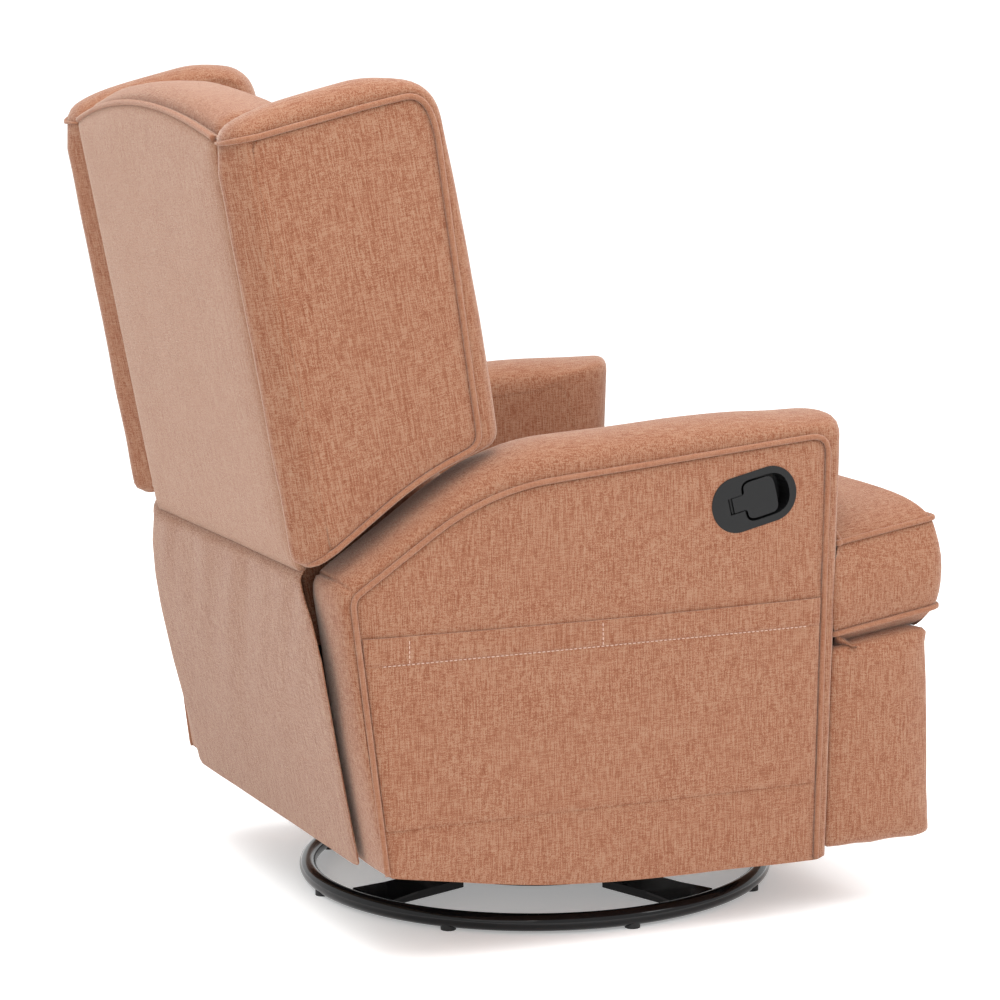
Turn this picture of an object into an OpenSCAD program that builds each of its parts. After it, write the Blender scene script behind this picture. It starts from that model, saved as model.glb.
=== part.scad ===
// Swivel glider recliner: a wing back, padded arms with side pockets, a boxed T seat
// cushion and a fold-out leg rest, on a ring base with a swivel bearing and glide links.
// Millimetres, +Z up. The sitter faces -Y and the swivel axis is vertical.
// Modules are drawn about the swivel axis; placed() moves them to the middle of the box.

/* [Arms] */
// Distance from the middle to an arm's inner face
arm_in = 264; // [250:1:285]
// Thickness of an arm between its two side faces
arm_w = 111; // [100:1:125]
// Height of the piping at the front of the arm
arm_fore_h = 627; // [600:1:650]
// Height of the corner at the back of the arm
arm_aft_h = 469; // [455:1:485]
// Height where the arm top bends down
arm_bend_h = 587; // [575:1:600]
// Distance of the arm front ahead of the swivel axis
arm_fore = 238; // [230:1:250]
// Distance of the arm front's foot ahead of the swivel axis
arm_fore_foot = 222; // [215:1:230]
// Distance of the arm's upper back corner behind the swivel axis
arm_aft = 400; // [392:1:404]
// Distance of the arm's lower back corner behind the swivel axis
arm_aft_foot = 360; // [350:1:362]
// Distance of the bend behind the swivel axis
arm_bend = 225; // [215:1:235]
// Height of the hem at the front
hem_fore_h = 79; // [74:1:90]
// Height of the hem at the back
hem_aft_h = 124; // [118:1:130]
// How far the pad rolls out past the piping
arm_roll = 34; // [26:1:36]
// Thickness of foam and cover on the arm frame
arm_pad_t = 14; // [12:1:18]
// Thickness of the arm's plywood panels
panel_t = 12; // [9:1:14]

/* [Side pockets] */
// Height of the pocket's mouth
pocket_top_h = 420; // [400:1:435]
// Height of the pocket's bottom seam
pocket_low_h = 182; // [170:1:200]
// Room between the pocket cloth and the arm
pocket_room = 4.6; // [4.4:0.1:6]
// Thickness of the pocket cloth
pocket_cloth_t = 1.8; // [1.5:0.1:2.5]

/* [Back] */
// Height of the seam across the outer back
seam_h = 494; // [488:1:502]
// Distance of that seam behind the swivel axis
seam_aft = 436; // [432:1:442]
// Lean of the back from upright, in degrees
lean = 10.54; // [9:0.1:12]
// Length of the back along its lean, seam to top piping at the middle
back_len = 558; // [540:1:580]
// How much lower the top piping lies at the corners
back_arch = 33; // [20:1:40]
// Thickness of the padded outer back
cover_t = 12; // [10:1:14]
// Depth of the back at its top
back_top_d = 150; // [135:1:160]
// Depth of the back at the lumbar bulge
back_low_d = 232; // [215:1:240]
// How far the back cushion reaches below the seam
back_drop = 118; // [105:1:120]
// How far the back's top pad rises over the piping
back_roll = 20; // [10:1:24]

/* [Wings] */
// Distance from the middle to a wing's inner face
wing_in = 284; // [280:1:290]
// Thickness of a wing
wing_w = 65; // [58:1:72]
// Depth of a wing at its top
wing_d = 256; // [240:1:262]
// Depth of a wing at its lower edge
wing_foot_d = 236; // [225:1:240]
// Length of a wing's top edge above the seam
wing_len = 524; // [510:1:540]
// Height of the wing's lower front corner above the seam
wing_rise = 104; // [98:1:112]
// How far the wing's pad rolls out past its piping
wing_roll = 29; // [20:1:31]

/* [Seat] */
// Distance of the seat front ahead of the swivel axis
seat_fore = 405; // [395:1:412]
// Height of the cushion's lower front piping
seat_fore_h = 393; // [388:1:400]
// Distance of the seat cushion's back behind the swivel axis
seat_aft = 172; // [160:1:176]
// Half width of the T at the front
ear_half = 370; // [350:1:374]
// Height of the cushion's side band
seat_box = 114; // [100:1:120]
// Height of the crown over the upper piping
seat_crown = 54; // [35:1:58]
// How far the side band bulges at the front
seat_bulge = 3; // [1:0.5:5]
// Slope of the seat, in degrees
seat_slope = 9; // [8:0.5:9.5]
// Thickness of the felt deck under the cushion
deck_t = 8; // [5:1:9]
// Thickness of the seat spring wire
spring_d = 4; // [3.2:0.2:4.4]
// Number of seat springs
spring_count = 4; // [3:1:5]

/* [Leg rest] */
// Height of the leg rest's lower edge
rest_low_h = 98; // [94:1:104]
// How far the leg rest's upper edge lies below the cushion's lower piping
rest_drop = 40; // [39:1:48]
// Distance of the leg rest's face ahead of the swivel axis
rest_fore = 390; // [380:1:393]
// Distance of the leg rest's back ahead of the swivel axis
rest_back = 262; // [261:1:264]
// Thickness of the leg rest's board
board_t = 12; // [9:1:14]
// Height of the pivot between the leg rest's links
link_joint_h = 146; // [144:1:150]
// Distance of the upper link's pivot ahead of the swivel axis
knee_fore = 205; // [203:1:207]
// How far the upper link's pivot lies below the cushion's lower piping
knee_drop = 97; // [95:1:99]

/* [Handle] */
// Length of the handle's bezel
bezel_len = 119; // [114:1:124]
// Height of the bezel
bezel_h = 70; // [66:1:74]
// Distance of the handle's middle ahead of the swivel axis
handle_fore = 134; // [125:1:140]
// Height of the handle's middle
handle_h = 552; // [540:1:556]
// Tilt of the handle, in degrees
handle_tilt = 13; // [10:1:15]
// Depth of the finger well
well_d = 24; // [20:1:25]
// Thickness of the pull lever
lever_t = 5; // [4:0.5:6]

/* [Base] */
// Radius of the ring's centreline
ring_r = 306; // [295:1:315]
// Diameter of the ring's tube
ring_d = 24; // [22:1:26]
// Wall of the ring's tube
ring_wall = 2; // [1.5:0.1:3]
// Height of a floor glide under the ring
glide_h = 4; // [3:0.5:5]
// Diameter of a floor glide
glide_d = 20; // [16:1:22]
// Number of floor glides
glide_count = 8; // [6:1:10]
// Turn of the base's cross against the chair, in degrees
base_turn = 20; // [10:1:30]
// Width of a cross arm
cross_w = 64; // [56:1:72]
// Radius of the raised hub
hub_r = 94; // [92:1:104]
// Height of the hub's top
hub_h = 34; // [33:1:36]
// Radius of the swivel kingpin
kingpin_r = 12; // [10:1:14]
// Radius of the ball track
track_r = 75; // [68:1:78]
// Radius of a bearing ball
ball_r = 4.5; // [4:0.1:4.8]
// Number of bearing balls
ball_count = 16; // [12:1:20]

/* [Glide] */
// Distance from the middle to a glide bracket's inner face
glide_in = 150; // [140:1:160]
// Distance of a link's pivots before and behind the swivel axis
glide_half = 130; // [120:1:140]
// Height of the upper link pivots
glide_top_h = 185; // [175:1:195]
// Length of a glide link between its pivots
link_len = 106; // [96:1:110]
// Radius of a link pin
pin_r = 6; // [5:0.5:7]
// Thickness of brackets, links and rails
steel_t = 5; // [4:0.5:5.5]
// Swing of a link each way, in degrees
glide_swing = 20; // [12:1:22]

/* [Hidden] */
$fn = 48;
small_fn = 28;
ring_fn = 96;
steps = 5;

// Clearances: a running fit, a seated face, and the overrun of a cut
fit = 0.05;
gap = 0.3;
over = 1;

// Sheet metal, flat links and round parts of the mechanism
sheet_t = 3;
plate_t = 4;
link_gap = 2;
pivot_r = 5;
boss_r = 12;
rivet_t = 1.3;
bolt_r = 4;
tube_r = 7;
tube_wall = 2;
cable_r = 3;

// Arm outline in y and z
arm_out = arm_in + arm_w;
hem_share = 0.37;
hem_mid = hem_share * arm_aft_foot;
hem_mid_h = mix(hem_fore_h, hem_aft_h, hem_share * hem_share * 1.46);
arm_corner_shares = [0.2, 0.8, 2.6, 0.75, 0.3, 3.6];
arm_crown_shares = [[0.05, 0], [0.1, 0.35], [-0.85, 1.55], [-1, 0.95], [-0.7, 0], [0, 0]];
arm_corners = [
    [arm_aft_foot, hem_aft_h], [arm_aft, arm_aft_h], [arm_bend, arm_bend_h],
    [-arm_fore, arm_fore_h], [-arm_fore_foot, hem_fore_h], [hem_mid, hem_mid_h]
];
arm_face = soften(arm_corners, arm_corner_shares * arm_roll, steps, 3);
arm_crown = soften(arm_corners + arm_roll * arm_crown_shares, arm_corner_shares * arm_roll, steps, 3);
inner_x = arm_in + panel_t;
outer_x = arm_out - 2 * panel_t;
post_t = 3 * panel_t;

// Base and bearing heights
ring_z = glide_h + ring_d / 2;
cross_share = 0.29;
cross_top = ring_z + cross_share * ring_d;
race_t = 5;
race_gap = 2;
race_r = hub_r - sheet_t;
rivet_track = (kingpin_r + track_r) / 2;
race_rivet_r = 4;
cross_count = 4;
ball_z = hub_h + race_t + race_gap / 2;
upper_race_z = hub_h + race_t + race_gap;
turn_z = upper_race_z + race_t;
turn_half_w = glide_in + steel_t + 4 * sheet_t;
turn_half_d = glide_half + 5 * pin_r;

// Glide links, rails and beams
link_x = glide_in + steel_t + over;
rail_x = link_x + steel_t + over;
link_low_h = glide_top_h - link_len;
beam = 24;
rail_half = turn_half_d + link_len * sin(glide_swing) + beam + sheet_t;
rail_up = 3 * pin_r;
rail_down = 2 * pin_r;
beam_z = link_low_h + rail_up + gap;

// Mechanism planes, from the side plate inward
mech_out = arm_in - plate_t;
mech_in = mech_out - plate_t;
thigh_x = mech_in - link_gap - plate_t;
shin_x = thigh_x - link_gap - plate_t;
claw_x = shin_x - link_gap - plate_t;
recline_aft = 290;
recline_h = 300;
recline_at = [recline_aft, recline_h];
knee_h = seat_fore_h - knee_drop;
knee_at = [-knee_fore, knee_h];
claw_reach = 30;
claw_drop = 6;
shin_start = [-knee_fore, link_joint_h];
shin_end = [claw_reach - rest_back, knee_h - claw_drop];
tube_at = knee_at + [15, -60];
bolt_h = beam_z + 3 * beam;
bolt_places = [for (k = [-1:1]) [k * 0.27 * arm_fore, bolt_h]];
pawl_w = 12;
pawl_reach = 52;
cable_rise = 32;
pawl_at = tube_at + [pawl_reach, 0];
cable_at = pawl_at + [-pawl_w, cable_rise];
pawl_pin_r = 3;
pawl_room = 1.5;

// Seat cushion outline in x and y
seat_half = arm_in - seat_bulge - 2 * gap;
ear_back = arm_fore + arm_roll + gap;
seat_corners = [
    [-ear_half, -seat_fore], [ear_half, -seat_fore], [ear_half, -ear_back], [seat_half, -ear_back],
    [seat_half, seat_aft], [-seat_half, seat_aft], [-seat_half, -ear_back], [-ear_half, -ear_back]
];
ear_r = 36;
seat_corner_shares = [1, 1, 0.65, 0.16, 0.75, 0.75, 0.16, 0.65];
seat_face = soften(seat_corners, ear_r * seat_corner_shares, 4, 3);
spring_pitch = 24;
spring_wide = 20;
spring_loops = 16;
spring_step = 2 * seat_half / (spring_count + 0.6);
spring_start = -knee_fore - 14;
spring_end = spring_start + spring_loops * spring_pitch;
seat_draw = 12;
spring_places = [for (i = [0:spring_count - 1]) (i - (spring_count - 1) / 2) * spring_step];
clip_h = 6;
clip_w = 16;
clip_drop = deck_t + 3 * gap + spring_d + clip_h;
deck_edge = 8;
rail_h = 24;
rail_w = 40;

// Back frame, in x, depth and length along the lean
back_half = wing_in - 2 * gap;
post_w = 45;
post_in = thigh_x - fit - post_w;
post_back = cover_t + gap;
post_d = 37;
post_low = -150;
post_top = 500;
back_rail_h = 40;
web_t = 2;
web_h = 46;
web_shares = [-0.11, 0.11, 0.57, 0.72];
flap_t = 4;
flap_side = 6;
flap_len = (seam_h - hem_aft_h) / cos(lean);
rear_rail_d = 26;
rear_rail_h = 60;
hem_lift = 14;
back_step = 110;
back_tuck_share = 0.043;
back_corner_shares = [1.2, 1.2, 1, 1, 1.2, 3, 3, 3, 1.2, 1, 1];
back_ring_shares = [
    [0.5, -0.3, 0], [0.15, 0.4, 0.06], [0, 1, 0.3], [0, 0.9, 0.55], [0.2, 0.4, 0.78], [0.8, -0.4, 0.92]
];

// Wing outline in depth and length along the lean
wing_low = 18;
wing_slope = 8;
wing_corner_shares = [0.35, 0.5, 1.1, 2.3, 0.6];
wing_crown_shares = [[0, 0], [-0.1, 1], [-0.3, 0.8], [-1, 0.72], [-1.15, -0.1]];
wing_soft_shares = [[-1.2, 0], [-1.2, 0], [0, 0], [0, 0], [0, 0]];
wing_corners = [
    [0, wing_low], [0, wing_len], [-0.74 * wing_d, wing_len + wing_slope],
    [-wing_d, wing_len + wing_slope], [-wing_foot_d, wing_rise]
];
wing_face = soften(wing_corners, wing_corner_shares * wing_roll, steps, 3);
wing_outer = soften(wing_corners + wing_roll * wing_soft_shares, wing_corner_shares * wing_roll, steps, 3);
wing_crown = soften(wing_corners + wing_roll * wing_crown_shares, wing_corner_shares * wing_roll, steps, 3);

// Leg rest
rest_r = 16;
rest_edge = 12;
rest_h = seat_fore_h - rest_drop - rest_low_h;
rest_t = rest_fore - rest_back;
rest_corner_shares = [1.6, 1.6, 1.6, 1.6];
rest_shares = [[0.4, 0], [0.06, 0.04], [0, 0.4], [0.06, 0.75], [0.4, 0.9], [1, 0.97]];

// Handle, in length forward, height and depth out of the arm
bezel_lip = 3;
bezel_edge = 4;
bezel_wall = 3;
stem_at = -0.3 * bezel_len;
stem_h = 19;
slot_room = 1;
slot_d = 14;
lever_r = 4.5;
lever_pin_r = 2;
lever_pin_at = stem_at + 6;
lever_pin_z = -5;
lever_pin_half = bezel_h / 2 - 13;
lever_low = -lever_t / 2;
lever_h = 47;
lever_neck = stem_at + 24;
lever_nose = lever_neck + 43;
lever_corner_shares = [0, 0.1, 0.26, 0.2, 0.5, 0.2, 0.26, 0.1, 0];
lever_face = soften([
    [lever_pin_at, -stem_h / 2], [lever_neck, -stem_h / 2], [lever_neck, -lever_h / 2],
    [lever_nose - slot_room, -lever_h / 2], [lever_nose + slot_room, 0], [lever_nose - slot_room, lever_h / 2],
    [lever_neck, lever_h / 2], [lever_neck, stem_h / 2], [lever_pin_at, stem_h / 2]
], lever_h * lever_corner_shares, 4, 1);
well_h = lever_h + 6;
well_aft = lever_neck - 4;
well_fore = well_aft + 0.55 * bezel_len;
well_corner_shares = [0.26, 0.55, 0.55, 0.26];
well_face = soften([
    [well_aft, -well_h / 2], [well_fore, -well_h / 2], [well_fore, well_h / 2], [well_aft, well_h / 2]
], well_h * well_corner_shares, 6, 1);

// Route of the release cable, from the bezel's back to the latch
cable_route = [
    [well_d + bezel_wall + fit - arm_out, -112, 546], [-342, -112, 546], [-332, -115, 536], [-326, -118, 515],
    [-323, -122, 470], [-321, -128, 410], [-320, -135, 350], [-318, -142, 305], [-312, -148, 280],
    [-302, -150, 270], [-292, -150, 268], [-mech_in, -150, 268]
];

// Middle of the box from front to back
box_shift = (seat_fore + seat_bulge - seam_aft - back_len * sin(lean)) / 2;

// Geometry helpers
function unit(v) = v / norm(v);
function mix(a, b, t) = a + (b - a) * t;

function bend(p, q, r, d, n) =
    let (a = q + unit(p - q) * min(d, norm(p - q) / 2), b = q + unit(r - q) * min(d, norm(r - q) / 2))
    [for (i = [0:n]) let (t = i / n) a * (1 - t) * (1 - t) + q * 2 * t * (1 - t) + b * t * t];

// Outline with softened corners of n steps and straights of m steps
function soften(pts, ds, n, m) =
    let (
        c = len(pts),
        arcs = [for (i = [0:c - 1]) bend(pts[(i + c - 1) % c], pts[i], pts[(i + 1) % c], ds[i], n)]
    )
    [for (i = [0:c - 1]) each concat(
        arcs[i],
        [for (k = [1:1:m - 1]) mix(arcs[i][n], arcs[(i + 1) % c][0], k / m)]
    )];

function inset(pts, d) =
    let (n = len(pts))
    [for (i = [0:n - 1])
        let (t = unit(pts[(i + 1) % n] - pts[(i + n - 1) % n]))
        pts[i] + d * [-t[1], t[0]]];

// Straight-sided outline moved inward, with mitred corners
function mitre(pts, d) =
    let (n = len(pts))
    [for (i = [0:n - 1])
        let (
            s = unit(pts[i] - pts[(i + n - 1) % n]), t = unit(pts[(i + 1) % n] - pts[i]),
            a = [-s[1], s[0]], b = [-t[1], t[0]]
        )
        pts[i] + d * (a + b) / (1 + a * b)];

function mean(pts) = [for (k = [0:len(pts[0]) - 1])
    let (v = [for (p = pts) p[k]])
    (v * [for (p = pts) 1]) / len(pts)];

function shrink(pts, c, s) = [for (p = pts) c + (p - c) * s];
function on_x(pts, x) = [for (p = pts) [x, p[0], p[1]]];
function on_z(pts, z) = [for (p = pts) [p[0], p[1], z]];

// Shallow arc of n steps over a half width, its middle at the height top
function arch(half, top, drop, n) =
    let (r = (half * half + drop * drop) / (2 * drop), a = asin(half / r))
    [for (i = [0:n]) let (t = a - 2 * a * i / n) [r * sin(t), top - r + r * cos(t)]];

// A point of the leaning back's frame, in depth and length along the lean
function to_back(p) =
    let (d = p - [seam_aft, seam_h])
    [d[0] * cos(lean) - d[1] * sin(lean), d[1] * cos(lean) + d[0] * sin(lean)];

// Height of the seat's sloping underside at a distance behind the swivel axis
function seat_plane(y) = seat_fore_h - (y + seat_fore) * tan(seat_slope);
function on_slope(pts, h) = [for (p = pts) [p[0], p[1], seat_plane(p[1]) + h]];

// Closed skin through rings of equal count, fanned to a tip in the first and last
module loft(rings, tips = []) {
    n = len(rings[0]);
    m = len(rings);
    ends = len(tips) > 0 ? tips : [mean(rings[0]), mean(rings[m - 1])];
    points = concat([for (r = rings) each r], ends);
    polyhedron(points, concat(
        [for (j = [0:m - 2]) for (i = [0:n - 1]) [j * n + i, (j + 1) * n + i, (j + 1) * n + (i + 1) % n]],
        [for (j = [0:m - 2]) for (i = [0:n - 1]) [j * n + i, (j + 1) * n + (i + 1) % n, j * n + (i + 1) % n]],
        [for (i = [0:n - 1]) [i, (i + 1) % n, m * n]],
        [for (i = [0:n - 1]) [(m - 1) * n + (i + 1) % n, (m - 1) * n + i, m * n + 1]]
    ));
}

// Round tube swept along a list of points
module sweep(path, r, sides) {
    last = len(path) - 1;
    rings = [for (i = [0:last])
        let (
            t = unit(path[min(i + 1, last)] - path[max(i - 1, 0)]),
            u = unit(cross(t, abs(t[2]) < 0.9 ? [0, 0, 1] : [0, 1, 0])),
            v = cross(t, u)
        )
        [for (k = [0:sides - 1]) path[i] + r * (u * cos(360 * k / sides) + v * sin(360 * k / sides))]];
    loft(rings);
}

module placed() translate([0, box_shift, 0]) children();

module both_sides() {
    children();
    mirror([1, 0, 0]) children();
}

module other_side() mirror([1, 0, 0]) children();

// Copies round the swivel axis
module around(count, turn = 0) for (k = [0:count - 1]) rotate(turn + k * 360 / count) children();

// A plate that stands fore and aft, its inner face at x, drawn in y and z
module standing(x, t) translate([x, 0, 0]) rotate([90, 0, 90]) linear_extrude(t) children();

// A rod along X from x0 to x1 through the point at = [y, z]
module rod(x0, x1, at, r) translate([x0, at[0], at[1]]) rotate([0, 90, 0])
    cylinder(h = x1 - x0, r = r);

// A rivet that holds everything between x0 and x1, with a head on each side
module rivet(x0, x1, at, r) {
    rod(x0 - rivet_t, x1 + rivet_t, at, r);
    rod(x0 - rivet_t, x0 - fit, at, 1.7 * r);
    rod(x1 + fit, x1 + rivet_t, at, 1.7 * r);
}

// A flat bar with round ends between two places
module blade(x, t, a, b, w) {
    translate([x, a[0], a[1]]) rotate([atan2(b[1] - a[1], b[0] - a[0]), 0, 0])
        translate([0, 0, 2 * fit - w / 2]) cube([t, norm(b - a), w - 4 * fit]);
    for (p = [a, b]) rod(x, x + t, p, w / 2);
}

// A link: a flat bar with a bore at each end
module bar(x, t, a, b, w, bore_a, bore_b) difference() {
    blade(x, t, a, b, w);
    rod(x - over, x + t + over, a, bore_a);
    rod(x - over, x + t + over, b, bore_b);
}

// Base
module ring_torus(r) translate([0, 0, ring_z]) rotate_extrude($fn = ring_fn)
    translate([ring_r, 0]) circle(r = r);

module base_ring() color([0.03, 0.03, 0.035]) difference() {
    ring_torus(ring_d / 2);
    ring_torus(ring_d / 2 - ring_wall);
}

module base_cross() color([0.05, 0.05, 0.055]) difference() {
    union() {
        rotate_extrude($fn = ring_fn) polygon([
            [kingpin_r + fit, hub_h - sheet_t], [hub_r - sheet_t, hub_h - sheet_t],
            [hub_r + cross_w / 4 - sheet_t, cross_top - sheet_t], [hub_r + cross_w, cross_top - sheet_t],
            [hub_r + cross_w, cross_top], [hub_r + cross_w / 4, cross_top], [hub_r, hub_h],
            [kingpin_r + fit, hub_h]
        ]);
        intersection() {
            around(cross_count, base_turn) cross_arm();
            cylinder(h = hub_h, r = ring_r - ring_d / 2 - gap, $fn = ring_fn);
        }
    }
    around(cross_count, base_turn) translate([rivet_track, 0, 0])
        cylinder(h = hub_h + over, r = race_rivet_r + fit, $fn = small_fn);
}

// One pressed arm of the cross, with a rib along each edge
module cross_arm() {
    start = hub_r + cross_w / 2;
    flare = cross_w / 6;
    rib_start = start + cross_w / 2;
    translate([0, 0, cross_top - sheet_t]) linear_extrude(sheet_t) polygon([
        [start, -cross_w / 2], [ring_r - cross_w, -cross_w / 2], [ring_r, -cross_w / 2 - flare],
        [ring_r, cross_w / 2 + flare], [ring_r - cross_w, cross_w / 2], [start, cross_w / 2]
    ]);
    for (s = [-1, 1])
        translate([rib_start, s * (cross_w / 2 - 1.5 * sheet_t) - sheet_t / 2, cross_top - ring_d / 2])
            cube([ring_r - rib_start, sheet_t, (ring_d - sheet_t) / 2]);
}

module floor_glides() color([0.12, 0.12, 0.12]) difference() {
    around(glide_count) translate([ring_r, 0, 0])
        cylinder(h = ring_z - ring_d / 4, r = glide_d / 2, $fn = small_fn);
    ring_torus(ring_d / 2 + fit);
}

module swivel_kingpin() color([0.55, 0.55, 0.57]) {
    foot_z = hub_h - 2 * sheet_t - fit;
    nut_z = turn_z + plate_t + gap;
    translate([0, 0, foot_z]) cylinder(h = sheet_t, r = 2 * kingpin_r);
    translate([0, 0, foot_z]) cylinder(h = nut_z + 2 * sheet_t - foot_z, r = kingpin_r);
    translate([0, 0, nut_z]) cylinder(h = 2 * sheet_t, r = 1.6 * kingpin_r, $fn = 6);
}

module race(z) difference() {
    translate([0, 0, z]) rotate_extrude($fn = ring_fn) translate([kingpin_r + fit, 0])
        square([race_r - kingpin_r, race_t]);
    translate([0, 0, ball_z]) rotate_extrude($fn = ring_fn) translate([track_r, 0])
        circle(r = ball_r + fit, $fn = small_fn);
}

module lower_race() color([0.5, 0.5, 0.52]) difference() {
    race(hub_h + fit);
    around(cross_count, base_turn) translate([rivet_track, 0, hub_h - over])
        cylinder(h = race_t + 3 * over, r = race_rivet_r + fit, $fn = small_fn);
}

module race_rivets() color([0.5, 0.5, 0.52]) around(cross_count, base_turn)
    translate([rivet_track, 0, hub_h - 2 * sheet_t - fit]) {
        cylinder(h = sheet_t, r = 2 * race_rivet_r, $fn = small_fn);
        cylinder(h = 2 * sheet_t + race_t, r = race_rivet_r, $fn = small_fn);
    }

module swivel_balls() color([0.8, 0.8, 0.82]) around(ball_count)
    translate([track_r, 0, ball_z]) sphere(r = ball_r, $fn = 16);

// Turntable and glide
module upper_race() color([0.5, 0.5, 0.52]) race(upper_race_z);

module swivel_plate() color([0.06, 0.06, 0.065]) difference() {
    translate([-turn_half_w, -turn_half_d, turn_z + fit]) cube([2 * turn_half_w, 2 * turn_half_d, plate_t]);
    translate([0, 0, turn_z]) cylinder(h = 2 * plate_t, r = kingpin_r + fit);
}

module glide_bracket() color([0.06, 0.06, 0.065]) {
    foot_z = turn_z + plate_t + 2 * fit;
    crest = 3 * pin_r;
    difference() {
        standing(glide_in, steel_t) polygon([
            [-turn_half_d, foot_z], [turn_half_d, foot_z], [glide_half + crest, glide_top_h + crest],
            [-glide_half - crest, glide_top_h + crest]
        ]);
        for (s = [-1, 1]) rod(glide_in - over, link_x, [s * glide_half, glide_top_h], pin_r + fit);
    }
    translate([glide_in - cross_w / 2, -turn_half_d, foot_z])
        cube([cross_w / 2 + over, 2 * turn_half_d, sheet_t]);
}

module glide_bracket_left() glide_bracket();
module glide_bracket_right() other_side() glide_bracket();

module upper_glide_pins() color([0.7, 0.7, 0.72]) both_sides() for (s = [-1, 1]) {
    rod(glide_in - sheet_t - fit, glide_in - fit, [s * glide_half, glide_top_h], 1.7 * pin_r);
    rod(glide_in - sheet_t, link_x + steel_t + over / 2, [s * glide_half, glide_top_h], pin_r);
}

module glide_links(s) color([0.1, 0.1, 0.11]) both_sides() bar(
    link_x, steel_t, [s * glide_half, glide_top_h], [s * glide_half, link_low_h], 4 * pin_r,
    pin_r + fit, pin_r + (s > 0 ? gap : fit)
);

module front_glide_links() glide_links(-1);
module rear_glide_links() glide_links(1);

// Chair carriage
module lower_glide_pins() color([0.7, 0.7, 0.72]) both_sides() for (s = [-1, 1]) {
    rod(rail_x + steel_t + fit, rail_x + steel_t + sheet_t, [s * glide_half, link_low_h], 1.7 * pin_r);
    rod(link_x - over / 2, rail_x + steel_t + sheet_t, [s * glide_half, link_low_h], pin_r);
}

module glide_rail() color([0.06, 0.06, 0.065]) difference() {
    union() {
        translate([rail_x, -rail_half, link_low_h - rail_down])
            cube([steel_t, 2 * rail_half, rail_up + rail_down]);
        translate([rail_x, -rail_half, link_low_h + rail_up - sheet_t]) cube([beam, 2 * rail_half, sheet_t]);
    }
    for (s = [-1, 1]) rod(rail_x - over, rail_x + steel_t + over, [s * glide_half, link_low_h], pin_r + fit);
}

module glide_rail_left() glide_rail();
module glide_rail_right() other_side() glide_rail();

module cross_beams() color([0.08, 0.08, 0.085]) for (s = [-1, 1])
    translate([-mech_in + gap, s * (rail_half - beam / 2) - beam / 2, beam_z])
        cube([2 * (mech_in - gap), beam, beam]);

module mechanism_plate() color([0.09, 0.09, 0.1]) {
    crest = boss_r + plate_t / 2;
    difference() {
        standing(mech_in, plate_t) polygon([
            [-rail_half, beam_z], [rail_half, beam_z], [recline_aft + boss_r, recline_h - boss_r],
            [recline_aft + boss_r, recline_h + crest], [recline_aft - boss_r, recline_h + crest],
            [seat_aft, seat_plane(seat_aft) - deck_t - plate_t],
            [-knee_fore + boss_r, knee_h + crest], [-knee_fore - boss_r, knee_h + crest]
        ]);
        for (p = [knee_at, recline_at]) rod(mech_in - over, mech_out + over, p, pivot_r + fit);
        rod(mech_in - over, mech_out + over, cable_at, cable_r + gap);
        for (p = bolt_places) rod(mech_in - over, mech_out + over, p, bolt_r + fit);
    }
}

module mechanism_plate_left() mechanism_plate();
module mechanism_plate_right() difference() {
    other_side() mechanism_plate();
    other_side() rod(mech_in - over, mech_out + over, pawl_at, pawl_pin_r + fit);
}

// Bolts through the side plate into the arm's inner panel
module arm_bolts() color([0.2, 0.2, 0.2]) both_sides() for (p = bolt_places) {
    rod(mech_in - plate_t, mech_in - fit, p, 2 * bolt_r);
    rod(mech_in - plate_t, inner_x + panel_t - over, p, bolt_r);
}

// Rivets of the leg rest's upper pivots, the back's pivots and the latch
module mechanism_rivets() color([0.7, 0.7, 0.72]) {
    both_sides() for (p = [knee_at, recline_at]) rivet(thigh_x, mech_out, p, pivot_r);
    other_side() rivet(thigh_x, mech_out, pawl_at, pawl_pin_r);
}

// Arms
module arm_panel(x) standing(x, panel_t) polygon(mitre(arm_corners, arm_pad_t));

module arm_inner_panel() color([0.72, 0.56, 0.36]) difference() {
    arm_panel(inner_x);
    for (p = bolt_places) rod(inner_x - over, inner_x + panel_t + over, p, bolt_r + fit);
    rod(inner_x - over, inner_x + panel_t + over, cable_at, cable_r + gap);
}

module arm_inner_panel_left() arm_inner_panel();
module arm_inner_panel_right() other_side() arm_inner_panel();

module arm_outer_panel_left() color([0.72, 0.56, 0.36]) arm_panel(outer_x);
module arm_outer_panel_right() color([0.72, 0.56, 0.36]) difference() {
    other_side() arm_panel(outer_x);
    bezel_hole();
}

// Front and back posts between the two panels
module arm_posts() color([0.78, 0.63, 0.43]) {
    x0 = inner_x + panel_t + gap;
    for (y = [-arm_fore_foot + 2 * arm_pad_t, arm_bend]) translate([x0, y, hem_aft_h + arm_pad_t])
        cube([outer_x - gap - x0, post_t, arm_bend_h - hem_aft_h - 7 * arm_pad_t]);
}

module arm_posts_left() arm_posts();
module arm_posts_right() other_side() arm_posts();

// Foam and cover round an arm, crowned between its two pipings
module arm_pad() difference() {
    loft([for (k = [0:6])
        let (f = k * 30, b = f % 180 == 0 ? 0 : pow(sin(f), 0.7))
        on_x(
            [for (i = [0:len(arm_face) - 1]) mix(arm_face[i], arm_crown[i], b)],
            arm_in + arm_w * (1 - cos(f)) / 2
        )]);
    standing(inner_x - gap, outer_x + panel_t - inner_x + 2 * gap) polygon(mitre(arm_corners, arm_pad_t - gap));
    for (p = bolt_places) rod(arm_in - over, inner_x, p, bolt_r + fit);
    rod(arm_in - over, inner_x, cable_at, cable_r + gap);
}

module arm_pad_left() color([0.78, 0.53, 0.42]) arm_pad();
module arm_pad_right() color([0.78, 0.53, 0.42]) difference() {
    other_side() arm_pad();
    bezel_hole();
}

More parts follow.
